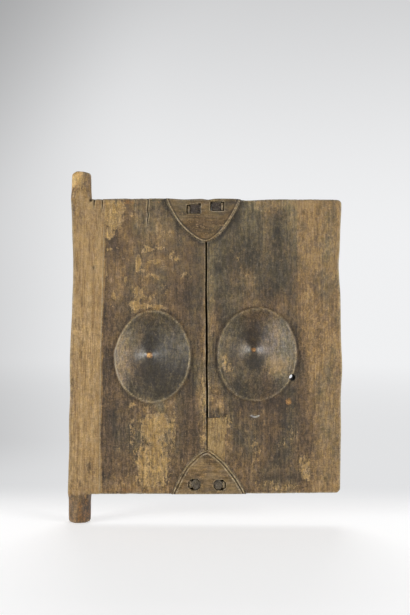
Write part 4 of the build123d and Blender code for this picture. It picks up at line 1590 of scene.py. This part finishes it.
def wear_plank(body, breast, places_of, with_pintles):
    """Weighs all the wear of a plank and stores it on its points."""
    x, y, z = points_of(body)
    front = ease(-y, 6, 14)
    near = near_breast(breast, x, z)
    places = places_of(x, z, near)
    # chips are real; on the hinge plank this value carries the nub's painted highlight
    cracked, chip_and_glint = places.cracked * front, places.chip_and_glint * front

    dark, gold, grey = face_wear(x, z, near, places)
    amber = amber_wood(x, z, breast, near, places) * front
    stub = (z > LEAF_TOP + 2) | (z < LEAF_FOOT)
    dark = np.where((front > 0.5) | stub, dark, 0.45 + 0.25 * rough_noise(x, z + y, 24, 60, 407))
    grey = np.where(front > 0.5, grey, 0.15)
    gold = gold * front
    if with_pintles:
        dark, gold, grey, amber = pintle_wear(x, y, z, front, dark, gold, grey, amber)
    # painted shadow beside the top cleat
    dark += 0.35 * bell(top_cleat.reach(x, z), 8.0) * front

    at_seam = bell(x - seam(z), 1.6) * (1 - front) * (y > 0)
    in_hole = np.hypot(x - HOLE_X, z - HOLE_Z) < HOLE_RADIUS + 0.3
    pits = pit_dirt(x, z, places.dents) * front * (amber < 0.3)
    grime = face_dirt_and_shade(x, z, breast, near) * front
    # the grime layer also takes painted shade: above and below the tip, and in the very dark places
    grime += 0.12 * places.black + 0.3 * near.tip_shade * near.inside
    grime = strongest(grime, 0.95 * in_hole, 1.1 * cracked, 0.8 * at_seam, pits)

    at_root = np.minimum(1, bell(z - LEAF_TOP, 4) + bell(z - LEAF_FOOT, 4)) * (x < 15)
    plain = (1 - cracked) * (1 - places.beside_patch) * (1 - at_root) * (1 - at_seam)
    # the pale rim: a worn arris, with painted light where it faces the lamps
    rim = near.rim * places.rim_wear_and_light * front * (0.7 + 0.8 * rough_noise(x, z, 9, 14, 409))
    carry(
        body, dark=dark, gold=gold, grey=grey, amber=amber, grime=grime,
        polish=np.maximum(np.maximum(near.polish, 0.3) * near.inside * front, 0.45 * stub),
        # pale edges: rubbed arrises, the rim, real chips and the nub's painted highlight
        edge=strongest(pale_edges(body) * plain, rim, chip_and_glint),
        # the pale sheen is a painted highlight, plus the real chips
        film=np.maximum(places.film * near.inside * front, chip_and_glint),
    )


wear_plank(left_plank, left_breast, hinge_plank_places, True)
wear_plank(right_plank, right_breast, free_plank_places, False)
print("wear painted on both planks")

# %% [markdown]
# ## The grain
# One recipe serves all the wood of the door, because all of it aged the same way. It begins with the
# grain. Wood is long tubes side by side, so its noises are stretched along one axis: pores, threads
# and bands a lot, flakes and mottling less. Creases run across, where the wood was knocked.

# %% The grain
GRAIN = {  # name: share along the grain, scale, detail, roughness, distortion
    "pores": (0.035, 1400, 2.0, 0.6, 0.0),
    "threads": (0.055, 600, 3.0, 0.6, 0.4),
    "rings": (0.04, 330, 2.0, 0.5, 0.5),
    "hair_course": (0.03, 150, 3.0, 0.55, 0.3),
    "bands": (0.1, 130, 4.0, 0.6, 0.6),
    "splits": (0.16, 210, 5.0, 0.62, 0.4),
    "mottle": (0.4, 240, 4.0, 0.7, 0.0),
    "tint": (0.5, 170, 3.0, 0.7, 0.0),
    "flakes": (0.6, 200, 5.0, 0.64, 0.5),
    "clouds": (0.6, 42, 4.0, 0.6, 0.0),
    "knocks": (0.6, 150, 4.0, 0.7, 0.4),
    "flecks": (0.8, 330, 2.0, 0.5, 0.3),
    "grit": (0.95, 480, 2.0, 0.7, 0.0),
}


def read_grain(cook, axis, seed):
    """All the noises of the wood; the grain runs along the axis x, y or z."""
    place = cook.vector("ADD", cook.coordinates(), (seed, seed, seed))

    def stretched(along, across=1.0):
        return cook.vector("MULTIPLY", place, tuple(along if n == axis else across for n in "xyz"))

    grain = SimpleNamespace()
    for name, (share, *shape) in GRAIN.items():
        setattr(grain, name, cook.noise(stretched(share), *shape))
    grain.creases = cook.noise(stretched(1.0, 0.3), 230, 4.0, 0.66, 0.8)
    grain.chips = cook.step(grain.knocks, 0.585, 0.63)
    in_places = cook.step(grain.mottle, 0.44, 0.56)
    grain.hairlines = cook.product(cook.close_to(grain.hair_course, 0.5, 0.016), in_places)
    return grain


print(len(GRAIN), "noises in the grain")

# %% [markdown]
# ## Where the skin has let go
# The worn places come from the points as smooth values, and the grain frays their borders, so the
# skin lets go along the grain as it does on real wood. Up on the leaf it comes off in small flakes.
# Low down, where splashing rain swelled the wood, it comes off in long splits instead.


# %% Dark skin and flaked gold
def read_wear(cook):
    """The eight wear values of a point."""
    wear = SimpleNamespace()
    for layer_name, kinds in WEAR_LAYERS.items():
        layer = cook.made("Attribute", attribute_name=layer_name)
        for kind, value in zip(kinds, (*cook.parts(layer["Vector"]), layer["Alpha"])):
            setattr(wear, kind, value)
    return wear


def up_the_leaf(cook, low, high, at_low, at_high):
    """A smooth step from one height to another, in metres."""
    return cook.step(cook.parts(cook.coordinates())["Z"], low, high, at_low, at_high)


def dark_skin(cook, wear, grain, ragged):
    """How thick the dark skin is: the carried value, frayed by the noises."""
    fray = cook.sum((grain.flakes, 1.2), (grain.threads, 0.45), (grain.clouds, 0.9),
                    (grain.grit, 0.35), (grain.bands, 0.6), (grain.mottle, 0.4))
    fray = cook.product(
        cook.math("SUBTRACT", fray, 1.95),
        cook.step(wear.dark, 0.0, 0.4, 0.35 * ragged, ragged),
        cook.step(wear.dark, 0.5, 0.85, 0.8, 0.62),
        cook.rest_of(cook.product(wear.polish, 0.2)),
    )
    return cook.sum((wear.dark, 1.0), (fray, 1.0), (grain.chips, -0.1))


def flaked_gold(cook, wear, grain):
    """How far the skin has flaked to gold, and the same with a crisp border."""
    in_splits = up_the_leaf(cook, 0.17, 0.26, 0.5, 0.0)
    in_flakes = cook.product(grain.flakes, cook.rest_of(in_splits))
    peeling = cook.math("ADD", cook.product(grain.splits, in_splits), in_flakes)
    peeling = cook.math("ADD", peeling, cook.product(cook.math("SUBTRACT", peeling, 0.5), in_splits))
    lifted = cook.sum((peeling, -2.0), (grain.threads, 0.3), (grain.grit, -0.5), (grain.bands, 0.4),
                      (grain.mottle, -0.5))
    flaked = cook.math("ADD", wear.gold, cook.math("ADD", lifted, 1.15))
    flecks = cook.product(cook.step(grain.flecks, 0.635, 0.68), cook.step(wear.gold, 0.0, 0.25, 0.16, 0.8))
    return flaked, cook.math("MAXIMUM", cook.step(flaked, 0.32, 0.72, 0.0, 0.95), flecks)


print("skin and gold can be read from the points")

# %% [markdown]
# ## The colours of old wood
# Then the layers are painted over each other in the order in which they came about. Bare wood greys
# in the sun, the dark skin covers it, gold shows where that flaked, and hands rub the edges pale.
# Each flake gets a painted shadow along its border and a painted highlight just inside it.


# %% Bare wood, skin, gold and rubbed edges
def bare_and_skin(cook, wear, grain, paints, skin):
    """Bare wood that greys, under a skin that is brown in some places and grey in others."""
    bare = cook.mix(cook.step(grain.threads, 0.38, 0.62), paints.bare[0], paints.bare[1])
    bare = cook.mix(cook.step(grain.bands, 0.38, 0.62, 0.0, 0.8), bare, paints.bare[2])
    bare = cook.mix(cook.product(wear.grey, 0.9), bare, paints.greyed)
    brown, grey = (cook.ramp(skin, *zip((0.2, 0.6, 1.0), colours))
                   for colours in (paints.brown_skin, paints.grey_skin))
    hue = cook.math("ADD", wear.grey, cook.math("SUBTRACT", cook.product(grain.clouds, 1.6), 0.8))
    skin_tone = cook.mix(cook.step(hue, 0.1, 0.9), brown, grey)
    return cook.mix(cook.step(skin, 0.0, 0.42), bare, skin_tone)


def with_gold(cook, wear, grain, paints, tone, flaked, gold_mask):
    """Gold where the skin has flaked, with a painted shadow along its border and a painted highlight inside
    it.
    """
    gold = cook.mix(cook.step(grain.bands, 0.36, 0.64), paints.gold[0], paints.gold[1])
    gold = cook.mix(cook.step(grain.threads, 0.5, 0.66, 0.0, 0.4), gold, paints.brown_skin[0])
    beside_gold = cook.step(wear.gold, 0.03, 0.25)
    # painted shadow and highlight along each flake's border, the highlight in the rubbed colour
    flake_shadow = cook.product(cook.close_to(flaked, 0.2, 0.16, 0.36), beside_gold)
    flake_highlight = cook.product(cook.close_to(flaked, 0.6, 0.14, 0.22), beside_gold)
    tone = cook.mix(flake_shadow, tone, paints.brown_skin[2])
    return cook.mix(flake_highlight, cook.mix(gold_mask, tone, gold), paints.rubbed)


def with_rubbing(cook, wear, grain, paints, tone):
    """Pale rubbed edges, warm amber where the wood is youngest, and a pale painted sheen that also whitens
    chips.
    """
    rubbed = cook.product(wear.edge, cook.step(grain.grit, 0.44, 0.64, 1.0, 0.45))
    tone = cook.mix(rubbed, tone, paints.rubbed)
    young = cook.sum((wear.amber, 1.0), (grain.grit, -0.8), (grain.mottle, -0.5))
    amber = cook.ramp(young, (0.0, paint(140, 98, 54)), (0.35, paint(208, 160, 100)))
    amber = cook.mix(cook.product(wear.gold, 0.7), amber, paint(212, 184, 124))
    tone = cook.mix(cook.step(young, -0.45, -0.1), tone, amber)
    # a pale colour for the painted sheen on the breasts, which also whitens the chips
    return cook.mix(wear.film, tone, paint(206, 204, 198))


print("the layers of colour are ready")

# %% [markdown]
# ## Pores, pits, dirt and painted shade
# Last comes what is dark: pores, hairlines and pits hold dirt, and the last dark layer lays on dirt and
# painted shade together. A fine light and dark, multiplied in, makes the weathered grain stand out, and
# a slow change between cool and warm keeps the wood from looking like one pot of paint.


# %% Pores, pits, dirt and painted shade
def with_age(cook, wear, grain, paints, tone):
    """Dark pores and pits, a coarse weathered grain, a wandering tint, and dirt with painted shade."""
    pitted = cook.product(
        grain.chips, up_the_leaf(cook, 0.14, 0.26, 0.5, 0.1), cook.step(wear.dark, 0.1, 0.5)
    )
    for hollow in (cook.step(grain.pores, 0.28, 0.44, 0.4, 0.0), cook.product(grain.hairlines, 0.5), pitted):
        tone = cook.mix(hollow, tone, paints.brown_skin[2])
    fine = cook.sum((grain.grit, 1.2), (grain.mottle, 1.3), (grain.threads, 0.4), (grain.pores, 0.3),
                    (grain.creases, 0.9), (grain.rings, 0.6))
    grain_depth = cook.product(cook.step(wear.dark, 0.1, 0.6, 0.5, 0.95),
                               up_the_leaf(cook, 0.26, 0.38, 1.0, 0.75))
    tone = cook.mix(grain_depth, tone, cook.step(fine, 1.8, 2.8, 1.66, 0.45), "MULTIPLY")
    cool, white, warm = (0.92, 0.98, 1.24, 1.0), (1.0, 1.0, 1.0, 1.0), (1.06, 1.02, 0.78, 1.0)
    tint = cook.ramp(grain.tint, (0.37, cool), (0.5, white), (0.63, warm))
    tone = cook.mix(cook.step(wear.dark, 0.05, 0.4, 0.4, 0.7), tone, tint, "MULTIPLY")
    # the last dark layer is dirt and painted shade together
    return cook.mix(cook.product(wear.grime, 0.85), tone, paint(36, 30, 24))


print("pores, pits and dirt are ready")

# %% [markdown]
# ## Old wood, put together
# Colour alone would look printed. Pores, skin and flakes also stand at different heights and shine
# differently, so roughness and bump follow the same noises, and what hands polished is smoother.


# %% Old wood
def old_wood(name, axis, seed=0.0, ragged=1.0, **colours):
    """Weathered wood with its grain along an axis, reading the wear carried by the points."""
    material = bpy.data.materials.new(name)
    cook = Recipe(material)
    shader = cook.tree.nodes["Principled BSDF"]
    paints = SimpleNamespace(**{
        kind: [paint(*one) for one in value] if isinstance(value[0], tuple) else paint(*value)
        for kind, value in colours.items()
    })
    wear, grain = read_wear(cook), read_grain(cook, axis, seed)
    skin = dark_skin(cook, wear, grain, ragged)
    flaked, gold_mask = flaked_gold(cook, wear, grain)
    tone = bare_and_skin(cook, wear, grain, paints, skin)
    tone = with_gold(cook, wear, grain, paints, tone, flaked, gold_mask)
    tone = with_rubbing(cook, wear, grain, paints, tone)
    cook.plug(shader.inputs["Base Color"], with_age(cook, wear, grain, paints, tone))

    roughness = cook.math("SUBTRACT", cook.step(skin, 0.1, 0.9, 0.84, 0.62), cook.product(wear.polish, 0.33))
    roughness = cook.math("ADD", roughness, cook.step(grain.threads, 0.3, 0.7, -0.07, 0.09))
    cook.plug(shader.inputs["Roughness"], roughness)
    shader.inputs["Specular IOR Level"].default_value = 0.42

    height = cook.sum((grain.pores, 0.3), (grain.threads, 0.7), (grain.flakes, 0.9), (gold_mask, -0.4),
                      (grain.grit, 0.8), (grain.mottle, 0.8), (grain.hairlines, -0.5),
                      (grain.creases, 1.4), (grain.chips, -0.7))
    bump = cook.add("Bump")
    bump.inputs["Distance"].default_value = 0.0011
    cook.plug(bump.inputs["Strength"], cook.product(cook.rest_of(cook.product(wear.polish, 0.6)), 0.6))
    cook.plug(bump.inputs["Height"], height)
    cook.plug(shader.inputs["Normal"], bump.outputs[0])
    return material


print("old wood can be made")

# %% [markdown]
# ## Five woods
# The planks, the cleats and the mend are the same kind of hardwood with another history, so only
# their colours differ. The pegs show dark end grain, and the wedges were split from pale sapwood. The
# grain runs up the planks and the mend, across in the cleats and through the leaf in pegs and wedges.

# %% The woods of this door
WOODS = {
    "plank_wood": dict(
        axis="z",
        bare=((178, 147, 103), (152, 121, 80), (190, 159, 112)), greyed=(146, 124, 90),
        gold=((189, 157, 105), (160, 129, 81)), rubbed=(178, 160, 128),
        brown_skin=((157, 127, 88), (118, 95, 67), (63, 49, 35)),
        grey_skin=((142, 126, 95), (105, 94, 71), (56, 49, 37)),
    ),
    "cleat_wood": dict(
        axis="x", seed=0.7, ragged=0.5,
        bare=((164, 134, 92), (134, 106, 70), (174, 144, 100)), greyed=(130, 113, 84),
        gold=((174, 140, 94), (150, 118, 76)), rubbed=(192, 172, 136),
        brown_skin=((136, 110, 74), (104, 82, 52), (52, 40, 27)),
        grey_skin=((126, 111, 84), (98, 86, 64), (48, 42, 33)),
    ),
    "peg_wood": dict(
        axis="y", seed=1.3,
        bare=((108, 96, 76), (84, 73, 56), (116, 104, 84)), greyed=(104, 97, 80),
        gold=((112, 96, 68), (90, 76, 54)), rubbed=(128, 118, 98),
        brown_skin=((98, 82, 66), (66, 53, 44), (40, 31, 26)),
        grey_skin=((102, 93, 78), (66, 59, 51), (40, 34, 30)),
    ),
    "wedge_wood": dict(
        axis="y", seed=2.1,
        bare=((186, 166, 132), (158, 136, 102), (196, 178, 146)), greyed=(164, 150, 126),
        gold=((190, 168, 128), (168, 142, 100)), rubbed=(196, 180, 150),
        brown_skin=((140, 118, 88), (112, 92, 66), (74, 60, 44)),
        grey_skin=((144, 128, 102), (112, 98, 78), (74, 64, 50)),
    ),
    "mend_wood": dict(
        axis="z", seed=3.4,
        bare=((178, 148, 98), (152, 121, 78), (186, 158, 110)), greyed=(148, 126, 94),
        gold=((188, 158, 108), (160, 130, 84)), rubbed=(180, 158, 116),
        brown_skin=((136, 112, 78), (104, 84, 58), (60, 48, 36)),
        grey_skin=((130, 114, 86), (98, 86, 66), (58, 50, 40)),
    ),
}
woods = {name: old_wood(name, **wood) for name, wood in WOODS.items()}
print("woods:", *woods)

# %% [markdown]
# ## Wear of the cleats and the small pieces
# The cleats' beads are rubbed pale and carry a painted highlight, and the grooves between them are full of
# dirt, more so on the half that was touched most. Painted shade runs along each cleat's end at the leaf's
# edge. The pegs, wedges and the mend are too small for places of their own, so each gets one value of a
# kind, stirred by noise.


# %% Cleats, pegs, wedges and mend
def cleat_wear(cleat, dark, strength, seed):
    """Wear of a cleat: beads rubbed pale and painted lit, dirty grooves, painted shade along its end, and a
    dark ring around each peg.
    """
    body = cleat_bodies[cleat.name]
    x, y, z = points_of(body)
    front = ease(-y, 6, 12)
    worn_side = ease(cleat.upright * (x - 205), -12, 12)
    patchy = 0.9 - 0.35 * worn_side + (0.7 + 0.6 * worn_side) * rough_noise(x, z, 9, 9, seed)
    stir = rough_noise(x, z, 30, 8, seed + 1) + 0.5 * rough_noise(x, z, 60, 22, seed + 4)
    from_line = cleat.from_beads(x, cleat.reach(x, z))
    bead, groove = 0 * x, 0 * x
    for at, width, rise in cleat.beads:
        line = bell(from_line - at, width)
        bead, groove = np.maximum(bead, line * (rise > 0)), np.maximum(groove, line * (rise < 0))
    # painted shade along the cleat's end at the leaf's edge
    end = bell(cleat.end_edge(x) - z, 1.6)
    shade = 0.3 * spot(x, z, 209, 108, 8, 7, 0.8) + 0.2 * spot(x, z, 240, 508, 22, 20, 0.8)
    middles = [0.5 * (peg.low + peg.high) for peg in draw_pegs]
    near_peg = strongest(*(bell(np.hypot(x - at[0], z - at[2]) ** 2, 13.0**2) for at in middles))
    carry(
        body, dark=dark + 0.35 * stir + 0.2 * groove + 0.15 * near_peg + shade,
        gold=0.12 + 0.25 * stir, grey=0.4 - 0.4 * stir, polish=0.2,
        grime=(0.6 * groove * strength * patchy + 0.6 * end + 0.15 * near_peg) * front,
        # pale beads: rubbed wood and a painted highlight
        edge=np.maximum(0.6 * pale_edges(body), bead * strength * patchy * front),
    )


def even_wear(body, seed, dark, gold=0.0, grey=0.0, pale=0.0, **rest):
    """Wear of a small piece: one value of each kind, stirred by noise."""
    x, y, z = points_of(body)
    stir = 0.3 * rough_noise(x + 0.3 * y, z + 0.5 * y, 9, 7, seed)
    flecks = 0.3 * soft_noise(x, z, 5, 9, seed + 3)
    carry(body, dark=dark + stir, gold=gold + flecks, grey=grey + stir, edge=pale * pale_edges(body), **rest)


cleat_wear(top_cleat, 0.5, 1.2, 501)
cleat_wear(bottom_cleat, 0.26, 1.4, 505)
even_wear(patch, 511, dark=0.06, gold=0.3, grey=0.1, polish=0.1)
for n, (name, body) in enumerate(small_bodies.items()):
    if "wedge" in name:
        even_wear(body, 520 + n, dark=0.4, gold=0.1, grey=0.3, pale=0.5, grime=0.1)
    elif "top" in name:
        even_wear(body, 520 + n, dark=0.75, pale=0.6, polish=0.2, grime=0.2)
    else:
        even_wear(body, 520 + n, dark=0.3, grey=0.4, pale=0.8, polish=0.2, grime=0.05)
print("wear painted on", 3 + len(small_bodies), "smaller pieces")

# %% [markdown]
# ## Handing the pieces over
# Every skin now stands for the imported part it was carved around: it takes its wood's finish, rides on
# the root body, and the imported part is hidden. The table also names a slot for each piece, which nothing
# here reads.

# %% Pieces and their woods
pieces = {
    "left_plank": (left_plank, "plank_wood", "weathered_plank"),
    "right_plank": (right_plank, "plank_wood", "weathered_plank"),
    "top_cleat": (cleat_bodies["top_cleat_wood"], "cleat_wood", "cleat_wood"),
    "bottom_cleat": (cleat_bodies["bottom_cleat_wood"], "cleat_wood", "cleat_wood"),
    "edge_patch": (patch, "mend_wood", "patch_wood"),
}
for name, body in small_bodies.items():
    is_wedge = "wedge" in name
    pieces[name] = (body, *(("wedge_wood", "pale_wedge") if is_wedge else ("peg_wood", "dark_peg")))
for node, (body, wood, slot) in pieces.items():
    body.data.materials.clear()
    body.data.materials.append(woods[wood])
    body.data.shade_smooth()
    body.data.set_sharp_from_angle(angle=math.radians(42))
    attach(body, "root")
    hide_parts(node)
